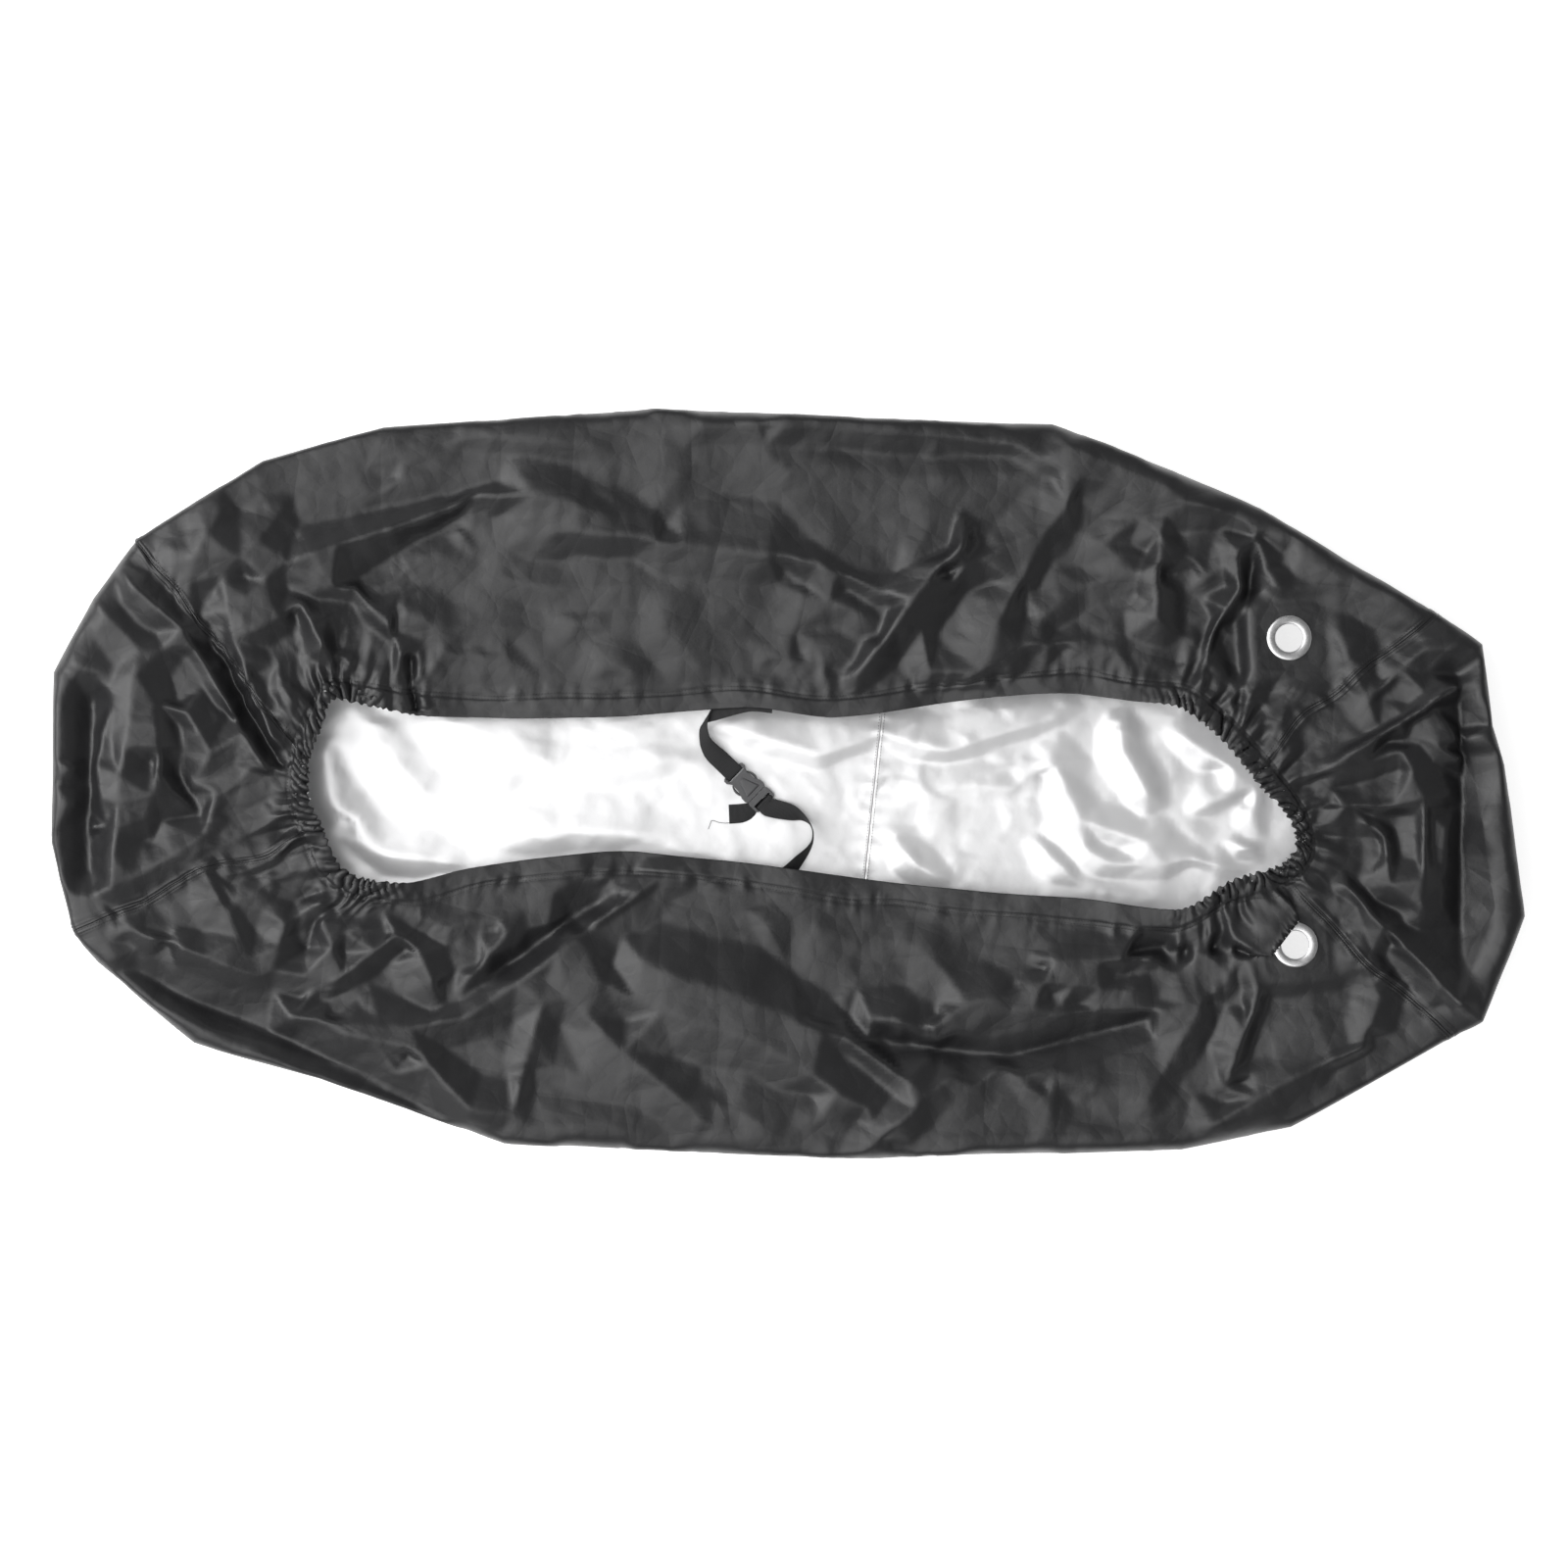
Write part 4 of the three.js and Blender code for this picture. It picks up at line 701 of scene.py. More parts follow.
def floor_rise(x, y):
    """Height of the cloth that lies on the floor: its net of folds, fine creases, puckers at the
    seam, and a heave under each eyelet, where its silver shows through the hole."""
    (ax, ay), (bx, by) = CROSS_UPPER, CROSS_LOWER
    length = math.hypot(bx - ax, by - ay)
    along = ((x - ax) * (bx - ax) + (y - ay) * (by - ay)) / length
    across = ((x - ax) * (by - ay) - (y - ay) * (bx - ax)) / length
    pucker = 0.7 * np.sin(along / 3.4 + 2 * noise(along, across, 40, 36)) * bell(across, 16)
    fine = sum(height * np.maximum(0, crumple(x, y, size, seed))
               for height, size, seed in FLOOR_CREASES)
    low = FLOOR_LIFT + np.maximum(0, 1.15 * sample(FLOOR_MAP, x, y) + 1)
    low = low + fine * smooth((FLOOR_END - np.abs(x)) / FLOOR_FADE)
    for ex, ey, height in EYELETS.values():
        low = np.maximum(low, (height - UNDER_EYELET) * bell(np.hypot(x - ex, y - ey), 60))
    low = low + relief([EYELET_CREASE], x, y, 1)
    return low + 0.4 * bell(across, 5) + pucker + FLOOR_THICK


def creases(x, y, length, inset):
    """Low creases all over: broad ones, long level ones along the middle, and ones that run from
    the hem to the rim at both ends."""
    end = smooth((np.abs(x) - END_START) / END_BLEND)
    middle = (2.2 * crumple(0.5 * x + 0.3 * y, y - 0.3 * x, 110, 21)
              + 1.2 * crumple(0.6 * x, y - 0.2 * x, 48, 25))
    radial = (2.4 * crumple(length, 0.42 * inset, 62, 27)
              + 1.6 * crumple(length, 0.5 * inset, 30, 29))
    radial = radial * smooth(inset / 50) * smooth(2.2 - inset / 200)
    fine = 0.9 * crumple(x, y, 27, 33) * (1 + 1.2 * bell(inset - 60, 70))
    swell = 3.4 * noise(x, y, 105, 18) + 1.5 * noise(x, y, 52, 19)
    broad = 3 * crumple(x, y, 290, 17) + swell
    return broad + mix(0.75 * middle, middle + radial, end) + fine * mix(0.5, 1, end)


def top_height(u, s, f, x, y):
    """Height a share f of the way from the crest to the hem: a bowed line, the folds, the pleats,
    low creases, and a flat square at each eyelet."""
    bow = s["middle"] - (s["crest"] + s["hem"]) / 2
    z = mix(s["crest"], s["hem"], f) + 4 * bow * f * (1 - f)
    wx, wy = x + 3 * noise(x, y, 70, 3), y + 3 * noise(x, y, 70, 4)
    z = z + sample(TOP_MAP, wx, wy) + relief(LINE_CREASES, x, y, 1.2)
    inset = (1 - f) * s["span"]
    length = hem_length(u) + 5 * noise(hem_length(u), inset, 40, 9)
    for k, (pitch, height, reach) in enumerate(PLEATS):
        phase = np.mod(length / pitch + 1.3 * noise(length, inset, 2.2 * pitch, 11 + k), 1)
        ridge = 1 - 2 * np.abs(2 * phase - 1) ** 0.8
        ridge = ridge * (1 + 0.6 * noise(length, inset, 1.7 * pitch, 14 + k))
        near = smooth(1 - inset / reach) * mix(1, smooth(inset / 18), min(1, k * 0.4))
        z = z + height * gathered(u) * ridge * near
    z = z + creases(x, y, length, inset)
    turn_x, turn_y = math.cos(PATCH_TURN), math.sin(PATCH_TURN)
    for ex, ey, height in EYELETS.values():
        across = np.abs((x - ex) * turn_x + (y - ey) * turn_y)
        down = np.abs((y - ey) * turn_x - (x - ex) * turn_y)
        away = (across ** 6 + down ** 6) ** (1 / 6)
        flat = height + 0.35 * crumple(x, y, 30, 45) + 0.5 * bell(away - PATCH_SIDE / 2 + 1, 1.8)
        z = mix(flat, z, smooth((away - PATCH_SIDE / 2 - 2) / FLAT_BLEND))
    return np.maximum(z, LOWEST_TOP)


def place(panel, u, v):
    """Outer face of the cloth over whole arrays of u and v: the top, the roll at the rim as two
    quarters of an ellipse, and the floor, where each column runs to its share of the way along
    the floor seam."""
    start, end, first, last, _ = PANELS[panel]
    s = section(u)
    waist = s["crest"] * (WAIST + 0.12 * noise(s["round"], 0 * u, 170, 53))
    turn = smooth(v - 1) * math.pi / 2
    under = np.clip(v - 2, 0, 1) * math.pi / 2
    tight = mix(0.58, 0.28, smooth(0.5 + noise(s["round"], 0 * u, 150, 46)))
    rolled = s["roll"] * (1 - np.sin(turn) ** tight)
    inset = np.where(v < 1, s["roll"] + s["span"] * (1 - v), rolled)
    inset = np.where(v > 2, LOW_ROLL * (1 - np.cos(under)), inset)
    x, y = s["ox"] + s["dx"] * inset, s["oy"] + s["dy"] * inset
    in_top = np.clip(v, 0, 1)
    wave = SEAM_WAVE * 4 * in_top * (1 - in_top)
    x, y = x + wave * noise(x, y, 75, 71), y + wave * noise(x, y, 75, 72)
    top = top_height(u, s, np.clip(1 - v, 0, 1), x, y)
    z = np.where(v < 1, top, mix(waist, top, np.cos(turn) ** tight))
    z = np.where(v > 2, waist * (1 - np.sin(under)), z)
    if first is None:
        first, last = (contact(np.array(float(a))) for a in (start, end))
    walk = np.hypot(np.diff(s["ox"], axis=0), np.diff(s["oy"], axis=0))
    share = np.concatenate([np.zeros((1, u.shape[1])), np.cumsum(walk, axis=0)])
    inside = (u >= start) & (u <= end)
    low = np.where(inside, share, math.inf).min(axis=0)
    high = np.where(inside, share, -math.inf).max(axis=0)
    share = np.clip((share - low) / (high - low), 0, 1)
    floor = np.clip(v - 3, 0, 1)
    x = mix(x, mix(first[0], last[0], share), floor)
    y = mix(y, mix(first[1], last[1], share), floor)
    z = np.where(v > 3, floor_rise(x, y) * smooth(floor * 12), z)
    return np.stack([x, y, z], axis=-1)


def unit(a):
    """Vectors at length 1."""
    return a / np.maximum(np.linalg.norm(a, axis=-1, keepdims=True), 1e-9)


def outward(points):
    """Unit normals of a grid of points, pointing out of the cloth."""
    return unit(np.cross(np.gradient(points, axis=1), -np.gradient(points, axis=0)))


def walked(points, axis):
    """Length walked along one axis of a grid from its first line."""
    steps = np.linalg.norm(np.diff(points, axis=axis), axis=-1)
    pad = [(0, 0), (0, 0)]
    pad[axis] = (1, 0)
    return np.cumsum(np.pad(steps, pad), axis=axis)


def outline_step(i):
    """Straight length of the outline from section i to the next."""
    s = section(np.array([float(i), i + 1.0]))
    return math.hypot(np.diff(s["ox"])[0], np.diff(s["oy"])[0])


def panel_grid(panel):
    """u and v of a panel, with one spare column past each seam: the first column of its
    neighbour, so that both get the same normals at the seam and no gap opens there."""
    start, end, _, _, floor_rows = PANELS[panel]
    columns = []
    for i in range(start, end):
        count = max(1, round(outline_step(i) / COLUMN))
        columns += list(i + np.arange(count) / count)
    columns += [start + d / outline_step(start) for d in SEAM_COLUMNS]
    columns += [end - d / outline_step(end - 1) for d in SEAM_COLUMNS]
    before, after = (SEAM_COLUMNS[0] / outline_step(i) for i in (start - 1, end))
    u = np.array([start - before] + sorted(columns) + [end, end + after])[:, None]
    span = section(u)["span"]
    hem = HEM_WIDTH * np.linspace(0, 1, HEM_ROWS + 1)[None, :] / span
    top = mix(HEM_WIDTH / span, 1, np.linspace(0, 1, TOP_ROWS + 1)[None, 1:])
    floor = 1 - (1 - np.arange(1, floor_rows + 1) / floor_rows) ** 1.25
    rest = np.concatenate([1 + np.arange(1, 2 * ROLL_ROWS + 1) / ROLL_ROWS, 3 + floor])[None, :]
    v = np.concatenate([hem, top, np.broadcast_to(rest, (len(u), rest.shape[1]))], axis=1)
    return np.broadcast_to(u, v.shape).copy(), v


def hem_relief(u, v, inset, length):
    """The casing, which stands proud up to its width: a step down there, grooves at its stitches,
    and puckers and a slow swell; where the elastic draws it in, a round tube instead of both."""
    step = 1.1 * smooth((HEM_WIDTH + 1.2 - inset) / 2.4)
    step -= sum(2.0 * bell(inset - line, 1.5) for line in HEM_LINES)
    tube = 2.2 * np.sqrt(np.clip(1 - ((inset - 12) / 13) ** 2, 0, 1))
    pucker = 1.9 * noise(length, 0.2 * inset, 7.5, 41) * bell(inset - HEM_WIDTH + 2, 11)
    pucker *= 0.45 + smooth(2 * noise(length, inset, 60, 47))
    swell = 2.5 * noise(length, inset, 140, 42) * bell(inset, 60)
    return mix(step + pucker + swell, step + tube, gathered(u)) * (v <= 1)


def seam_relief(across, down, v, inset):
    """The seam beside its line: a raised allowance, grooves at the seam and its stitches, and
    puckers. It fades out towards the casing, and ends at the floor."""
    seam = 1.1 * smooth((10 - across) / 2) - 0.7 * bell(across, 0.8)
    seam -= sum(0.9 * bell(across - line, 1.1) for line in SEAM_LINES)
    seam += 1.9 * noise(down, 0.3 * across, 8.5, 48) * bell(across - 5, 13)
    return seam * smooth((inset - HEM_WIDTH - 4) / HEM_WIDTH) * (v < 3)


def wall_relief(down, v, length):
    """Wrinkles of the wall, which lean along it. They are low under the crest and at the outline,
    and stay within the room below the roll."""
    lean = OUTLINE_SHARE * length + 0.5 * down
    wall = (9 * crumple(lean, 0.45 * down, 105, 51) + 4 * crumple(lean, 0.7 * down, 44, 57)
            + 5 * noise(lean, 0 * down, 190, 55) + 1.2 * noise(lean, down, 20, 52) - 1.5)
    wall *= (smooth((v - 1.15) * 1.4) * smooth((3 - v) * 2.2) * (1 - bell(v - 2, 0.3))
             * mix(0.4, 1, v > 2))
    room = LOW_ROLL * (1 - np.cos(np.clip(v - 2, 0, 1) * math.pi / 2))
    return np.minimum(wall, 0.8 * room)


def hem_sway(u, v, inset, length):
    """How far the hem's edge moves in and out in plan: with the pleats, or in slow waves."""
    draw = gathered(u)
    phase = 2 * math.pi * length / PLEATS[0][0] + 3 * noise(length, inset, 18, 43)
    sway = draw * 2.2 * np.cos(phase) + (1 - draw) * 1.5 * noise(length, inset, 90, 44)
    return bell(inset, 14) * (v <= 1) * sway


def surface(panel):
    """Points and normals of a panel's outer face, with its hem, seams, puckers and creases, its u
    and v, and its points before the fold over the lower eyelet is laid."""
    u, v = panel_grid(panel)
    points = place(panel, u, v)
    normals = outward(points)
    s = section(u)
    inset, length = np.clip(v, 0, 1) * s["span"], hem_length(u)
    across, down = walked(points, 0), walked(points, 1)
    across = np.minimum(across - across[1], across[-2] - across)
    detail = hem_relief(u, v, inset, length)
    detail += seam_relief(across, down, v, inset)
    detail += wall_relief(down, v, length)
    points = points + normals * detail[..., None]
    points[..., 2] = np.where(v > 1, np.maximum(points[..., 2], 0.3), points[..., 2])
    inward = unit(np.stack([s["dx"], s["dy"], 0 * u], axis=-1))
    plain = points + inward * hem_sway(u, v, inset, length)[..., None]
    points = folded_over(plain, v)
    return points, outward(points), u, v, plain


def folded_over(points, v):
    """The fold that lies over part of the lower eyelet: cloth beyond the fold's edge rises, runs
    on over the ring to the edge, and turns back under itself."""
    edge, ring, top = math.radians(OVERLAP_TURN), EYELETS["lower"][2], OVERLAP_TOP
    back = np.array([-math.sin(edge), math.cos(edge)])
    way = points[..., :2] - np.array(OVERLAP_MIDDLE)
    q = way @ back  # how far behind the edge
    beside = np.abs(way @ np.array([math.cos(edge), math.sin(edge)]))
    s = (OVERLAP_START - q) / (OVERLAP_START - OVERLAP_END)
    weight = smooth((52 - beside) / 25) * ((s > 0) & (s <= 1) & (v < 1))
    over, under = np.clip(s / top, 0, 1), np.clip((s - top) / (1 - top), 0, 1)
    there = np.where(s < top, mix(OVERLAP_START, 0, over), mix(0, OVERLAP_END, under))
    z = points[..., 2]
    laid = mix(z, ring + 8 + 1.5 * noise(beside, there, 14, 49), smooth(over * 1.5))
    laid = laid - smooth(over * 3 - 2)
    z_there = np.where(s < top, laid, ring + mix(6, 4.2, under) * smooth((1 - under) * 6))
    at_edge = np.abs(s - top) < 0.05
    there, z_there = np.where(at_edge, 0, there), np.where(at_edge, ring + 8.5, z_there)
    moved = points.copy()
    moved[..., :2] += ((there - q) * weight)[..., None] * back
    moved[..., 2] = mix(z, z_there, np.where(s < top + 0.04, smooth(1.7 * weight), weight ** 2))
    return moved


def lowest_near(z, axis, reach):
    """The mean, within a reach along one axis of a grid, of the lowest values within that reach:
    never above the grid's own values."""
    pad = [(reach, reach) if a == axis else (0, 0) for a in (0, 1)]
    for settle in (np.min, np.mean):
        wide = np.pad(z, pad, mode="edge")
        shifts = range(2 * reach + 1)
        z = settle([np.take(wide, np.arange(k, k + z.shape[axis]), axis) for k in shifts], axis=0)
    return z


def with_turned_hem(points, normals):
    """The surface's points with TURNED_ROWS rows before the hem: cloth turned under, which keeps
    below the lowest of the hem round it, and the half round of the edge."""
    plain = points[:, :HEM_ROWS + 4].copy()
    plain[..., 2] = lowest_near(lowest_near(plain[..., 2], 0, 2), 1, 2) - TURNED
    turned = [plain[:, row] for row in UNDER_ROWS]
    edge = points[:, 0]
    out = unit(edge - points[:, 1])
    for a in map(math.radians, EDGE_ANGLES):
        turned.append(edge + out * TURNED / 2 * math.sin(a)
                      - normals[:, 0] * TURNED / 2 * (1 - math.cos(a)))
    return np.concatenate([np.stack(turned, axis=1), points], axis=1)


# Meshes

SURFACES = {}  # each panel's points, normals, u and v, for what is sewn to it


def grid_faces(columns, rows, closed=(0, 0), flip=False):
    """Quads of a grid of columns by rows, as indices into its points. An axis that is closed
    joins its last line to its first; flip turns the quads over."""
    index = np.arange(columns * rows).reshape(columns, rows)
    index = np.pad(index, [(0, k) for k in closed], "wrap")
    sides = [index[1:, :-1], index[:-1, 1:]]
    before, after = reversed(sides) if flip else sides
    return np.stack([index[:-1, :-1], before, index[1:, 1:], after], axis=-1)


def installed(name, mesh):
    """A mesh as a piece of the scene, on the cover's one body."""
    piece = bpy.data.objects.new(name, mesh)
    bpy.context.scene.collection.objects.link(piece)
    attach(piece, "root")
    return piece


def new_piece(name, points, faces, finishes, smooth_faces=True):
    """A piece from points in millimetres and faces that all have the same number of corners."""
    mesh = bpy.data.meshes.new(name)
    points, faces = np.asarray(points, float).reshape(-1, 3), np.asarray(faces)
    faces = faces.reshape(-1, faces.shape[-1])
    mesh.vertices.add(len(points))
    mesh.vertices.foreach_set("co", (points * MM).ravel())
    mesh.loops.add(faces.size)
    mesh.loops.foreach_set("vertex_index", faces.ravel())
    mesh.polygons.add(len(faces))
    mesh.polygons.foreach_set("loop_start", np.arange(len(faces)) * faces.shape[1])
    mesh.polygons.foreach_set("use_smooth", np.full(len(faces), smooth_faces))
    mesh.update(calc_edges=True)
    mesh.validate()
    for finish in finishes:
        mesh.materials.append(MATERIALS[finish])
    return installed(name, mesh)


def thicken(piece, thickness, inner=0):
    """A wall that grows inwards. The number of its inner face's material is that much higher."""
    wall = piece.modifiers.new("thickness", "SOLIDIFY")
    wall.thickness = thickness * MM
    wall.offset = -1
    wall.material_offset = inner


def lay_map(piece, first, second):
    """A UV map in metres of cloth, from lengths in millimetres along its grid's two axes."""
    flat = np.stack(np.broadcast_arrays(first * MM, second * MM), axis=-1).reshape(-1, 2)
    corner = np.zeros(len(piece.data.loops), int)
    piece.data.loops.foreach_get("vertex_index", corner)
    layer = piece.data.uv_layers.new(name="cloth")
    layer.data.foreach_set("uv", flat[corner].astype(np.float32).ravel())


def cloth_piece(panel):
    """One panel of the cover, thickened inwards, with its silver side in."""
    points, normals, u, v, plain = (a[1:-1] for a in surface(panel))
    whole = with_turned_hem(points, normals)
    columns, rows = whole.shape[:2]
    hole = np.zeros((columns - 1, rows - 1), bool)
    centre = (plain[:-1, :-1] + plain[1:, 1:]) / 2
    for ex, ey, height in EYELETS.values():
        near = np.hypot(centre[..., 0] - ex, centre[..., 1] - ey) < EYELET_HOLE + 3
        hole[:, TURNED_ROWS:] |= near & (centre[..., 2] > height / 2)
    faces = grid_faces(columns, rows)[~hole]
    piece = new_piece(panel + "_cloth", whole, faces, ["taffeta", "silver"])
    lay_map(piece, walked(whole, 0).mean(axis=1)[:, None], walked(whole, 1).mean(axis=0)[None, :])
    thicken(piece, CLOTH, 1)
    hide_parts(panel)
    SURFACES[panel] = (points, normals, u, v)
    return piece


# Sewing

# Pitch, length and width of a stitch and of a loose thread's twists, and the faces of one
STITCH, THREAD_TWIST = (4.0, 3.0, 1.1), (1.2, 2.0, 0.9)
SPINDLE = np.array([(0, 2, 1), (0, 3, 2), (0, 4, 3), (0, 1, 4),
                    (5, 1, 2), (5, 2, 3), (5, 3, 4), (5, 4, 1)])


def stitches(path, normals, pitch, length, width):
    """Points of small spindles end to end along a path, half sunk in the cloth: two ends, and a
    ring of four points halfway between them."""
    at = walked(path[:, None], 0)[:, 0]
    count = int(at[-1] / pitch)
    middle = (np.arange(count) + 0.5) * pitch

    def along(values, s):
        return np.stack([np.interp(s, at, values[:, k]) for k in range(3)], axis=-1)

    centre = along(path, middle)
    lift = unit(along(normals, middle))
    forward = unit(along(path, middle + 1) - along(path, middle - 1))
    side = np.cross(lift, forward)
    ends = [centre + forward * k * length / 2 - lift * 0.1 for k in (-1, 1)]
    ring = [centre + side * width / 2 + lift * 0.1, centre + lift * 0.45 + forward * 0.2,
            centre - side * width / 2 + lift * 0.1, centre - lift * 0.4]
    return np.stack([ends[0], *ring, ends[1]], axis=1)


def sewing(name, lines, finish, stitch=STITCH):
    """All stitches of some lines, each a path and its normals, as one piece."""
    spindles = np.concatenate([stitches(*line, *stitch) for line in lines])
    faces = SPINDLE[None] + 6 * np.arange(len(spindles))[:, None, None]
    new_piece(name, spindles, faces, [finish], smooth_faces=False)


def nearest_column(panel, u_at):
    """Number of the panel's grid column nearest to a place round the cover."""
    return int(np.argmin(np.abs(SURFACES[panel][2][:, 0] - u_at)))


def hem_line(panel, inset):
    """A line along the hem of a panel, at an inset from its edge."""
    points, normals, _, _ = SURFACES[panel]
    row = inset / HEM_WIDTH * HEM_ROWS
    low, t = int(row), row - int(row)
    return mix(points[:, low], points[:, low + 1], t), mix(normals[:, low], normals[:, low + 1], t)


def hem_bar(panel, u_at):
    """A line across a hem, from its edge to its rows of stitches."""
    points, normals, _, _ = SURFACES[panel]
    c = nearest_column(panel, u_at)
    return points[c, 1:HEM_ROWS - 2], normals[c, 1:HEM_ROWS - 2]


def seam_line(panel, step, away):
    """A line beside a panel's seam, at a distance from it, from the hem to the floor: beside its
    first column for step 1, its last for -1."""
    points, normals, _, v = SURFACES[panel]
    points, normals = points[::step], normals[::step]
    rows, across = range(int((v[0] <= 3).sum())), walked(points, 0)
    return [np.array([[np.interp(away, across[:, r], values[:, r, k]) for k in range(3)]
                      for r in rows]) for values in (points, normals)]


def cross_line(away):
    """A line on the silver beside the seam that joins the strips, at a distance from it."""
    start, end = np.array(CROSS_UPPER), np.array(CROSS_LOWER)
    t = np.linspace(0.12, 0.88, 160)[:, None]
    across = np.array([end[1] - start[1], start[0] - end[0]]) / math.dist(start, end)
    path = mix(start, end, t) + away * across
    rise = floor_rise(path[:, 0], path[:, 1]) + CLOTH
    return np.column_stack([path, rise]), np.tile((0.0, 0.0, 1.0), (len(t), 1))


# Eyelets, patches, straps and buckle

def turned_ring(profile, segments, centre):
    """A closed profile of (radius, height) turned round an upright axis through a centre."""
    angle = np.linspace(0, 2 * math.pi, segments, endpoint=False)[:, None]
    r, z = np.array(profile, float).T
    points = np.stack([centre[0] + r * np.cos(angle), centre[1] + r * np.sin(angle),
                       centre[2] + z + 0 * angle], axis=-1)
    return points, grid_faces(segments, len(r), closed=(1, 1))


def eyelet(which):
    """A pressed ring: a domed flange rolled into a short barrel, with a flat washer below."""
    middle, half = (EYELET_INNER + EYELET_OUTER) / 2, (EYELET_OUTER - EYELET_INNER) / 2
    profile = [(EYELET_INNER, -4.6), (EYELET_INNER, 0.6)]
    profile += [(middle + half * math.cos(a), 0.9 + 1.7 * math.sin(a) ** 0.55)
                for a in np.radians(np.arange(180, -1, -15))]
    profile += [(EYELET_OUTER - 0.3, 0.35), (EYELET_HOLE - 0.7, 0.3), (EYELET_HOLE - 0.7, -3.6),
                (EYELET_OUTER, -3.6), (EYELET_OUTER, -4.6)]
    points, faces = turned_ring(profile[::-1], 72, EYELETS[which])
    ring = new_piece("eyelet_" + which + "_ring", points, faces, ["plating"])
    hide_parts("eyelet_" + which)


def patch(which):
    """A square of cloth round the eyelet's hole: rings of points from the hole to the square."""
    ex, ey, height = EYELETS[which]
    angle = np.linspace(0, 2 * math.pi, PATCH_SPOKES, endpoint=False)[:, None]
    square = PATCH_SIDE / 2 / np.maximum(np.abs(np.cos(angle)), np.abs(np.sin(angle)))
    r = mix(EYELET_HOLE, square, np.linspace(0, 1, PATCH_RINGS)[None, :])
    x = ex + r * np.cos(angle + PATCH_TURN)
    y = ey + r * np.sin(angle + PATCH_TURN)
    z = height - PATCH_DEPTH + 0.15 * noise(x, y, 14, 61)
    points = np.stack([x, y, z], axis=-1)
    piece = new_piece("patch_" + which + "_cloth", points,
                      grid_faces(PATCH_SPOKES, PATCH_RINGS, closed=(1, 0), flip=True),
                      ["taffeta", "silver"])
    thicken(piece, CLOTH, 1)
    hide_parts("patch_" + which)


WEBBING_WIDTH, WEBBING = 25, 1.5  # width and thickness
# The webbing's cross-section: places across it as shares of half its width, and its thickness
# there as a share of the whole
WEBBING_ACROSS = (-1, -0.97, -0.86, -0.82, -0.4, 0, 0.4, 0.82, 0.86, 0.97, 1)
WEBBING_THICK = (0.35, 0.9, 0.9, 1, 1, 1, 1, 1, 0.9, 0.9, 0.35)
STRAP_STEPS = 7  # grid steps from one of a strap's rows to the next
UNDER_HEM = 3.95  # how far below the hem's face a strap's middle lies where it is sewn on
BUCKLE_X, BUCKLE_Y, BUCKLE_TURN = -68, 14, math.radians(-44)
BUCKLE_BOTTOM, BUCKLE_HEIGHT, BAR_THICK = 3.8, 10, 3.2
BAR_TOP = BUCKLE_BOTTOM + (BUCKLE_HEIGHT + BAR_THICK) / 2 + 0.3 + WEBBING / 2
FLOOR_LAY = 1.9 + WEBBING / 2  # height of the webbing's middle where it lies on the silver


def strap_row(x, y, z, turn, lean):
    """Middle of the webbing and its across direction, turned in plan and leaning, in degrees."""
    a, b = math.radians(turn), math.radians(lean)
    return (x, y, z), (math.cos(a) * math.cos(b), math.sin(a) * math.cos(b), math.sin(b))


def on_buckle(x, z, turn=0):
    """A strap row at a place in the buckle's own frame, across it but for a turn in degrees."""
    side = BUCKLE_TURN + math.pi / 2 + math.radians(turn)
    return ((BUCKLE_X + x * math.cos(BUCKLE_TURN), BUCKLE_Y + x * math.sin(BUCKLE_TURN), z),
            (math.cos(side), math.sin(side), 0))


def under_hem(panel, u_at, inset):
    """A strap row against the underside of a hem, for webbing that runs along it."""
    points, normals, _, _ = SURFACES[panel]
    c = nearest_column(panel, u_at)
    across = unit(points[c, HEM_ROWS] - points[c, 0])
    middle = points[c, 0] + across * inset - normals[c, HEM_ROWS // 2] * UNDER_HEM
    return tuple(middle), tuple(across)


def out_of_hem(panel, u_at, inset):
    """A strap row against the underside of a hem, for webbing that runs square to it."""
    points, c = SURFACES[panel][0], nearest_column(panel, u_at)
    (x, y, z), _ = under_hem(panel, u_at, inset)
    return (x, y, z - 0.3), tuple(unit(points[c + 1, 0] - points[c - 1, 0]))


def ribbon(node, rows):
    """A strap: a flat section with thin selvedges along a rounded curve through its rows."""
    centres, sides = (np.array(column, float) for column in zip(*rows))
    t = np.linspace(0, len(rows) - 1, (len(rows) - 1) * STRAP_STEPS + 1)
    i = np.clip(t.astype(int), 0, len(rows) - 2)

    def curve(values):
        a, b = values[np.maximum(i - 1, 0)], values[i]
        c, d = values[i + 1], values[np.minimum(i + 2, len(rows) - 1)]
        return bend(b, c, 0.42 * (c - a), 0.42 * (d - b), (t - i)[:, None])

    centre, side = curve(centres), unit(curve(unit(sides)))
    forward = unit(np.gradient(centre, axis=0))
    lift = unit(np.cross(forward, side))
    half = np.array(WEBBING_ACROSS) * WEBBING_WIDTH / 2
    thick = np.array(WEBBING_THICK) * WEBBING / 2
    loop = np.concatenate([np.stack([half, thick], axis=1), np.stack([half, -thick], axis=1)[::-1]])
    points = centre[:, None] + side[:, None] * loop[None, :, :1] + lift[:, None] * loop[None, :, 1:]
    count, ring = points.shape[:2]
    faces = grid_faces(count, ring, closed=(0, 1), flip=True).reshape(-1, 4)
    k = np.arange(ring // 2 - 1)
    cap = np.stack([k, k + 1, ring - 2 - k, ring - 1 - k], axis=-1)
    faces = np.concatenate([faces, cap[:, ::-1], cap + (count - 1) * ring])
    piece = new_piece(node + "_webbing", points, faces, ["webbing"])
    walk = walked(centre[:, None], 0)
    lay_map(piece, walk, loop[None, :, 0])
    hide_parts(node)


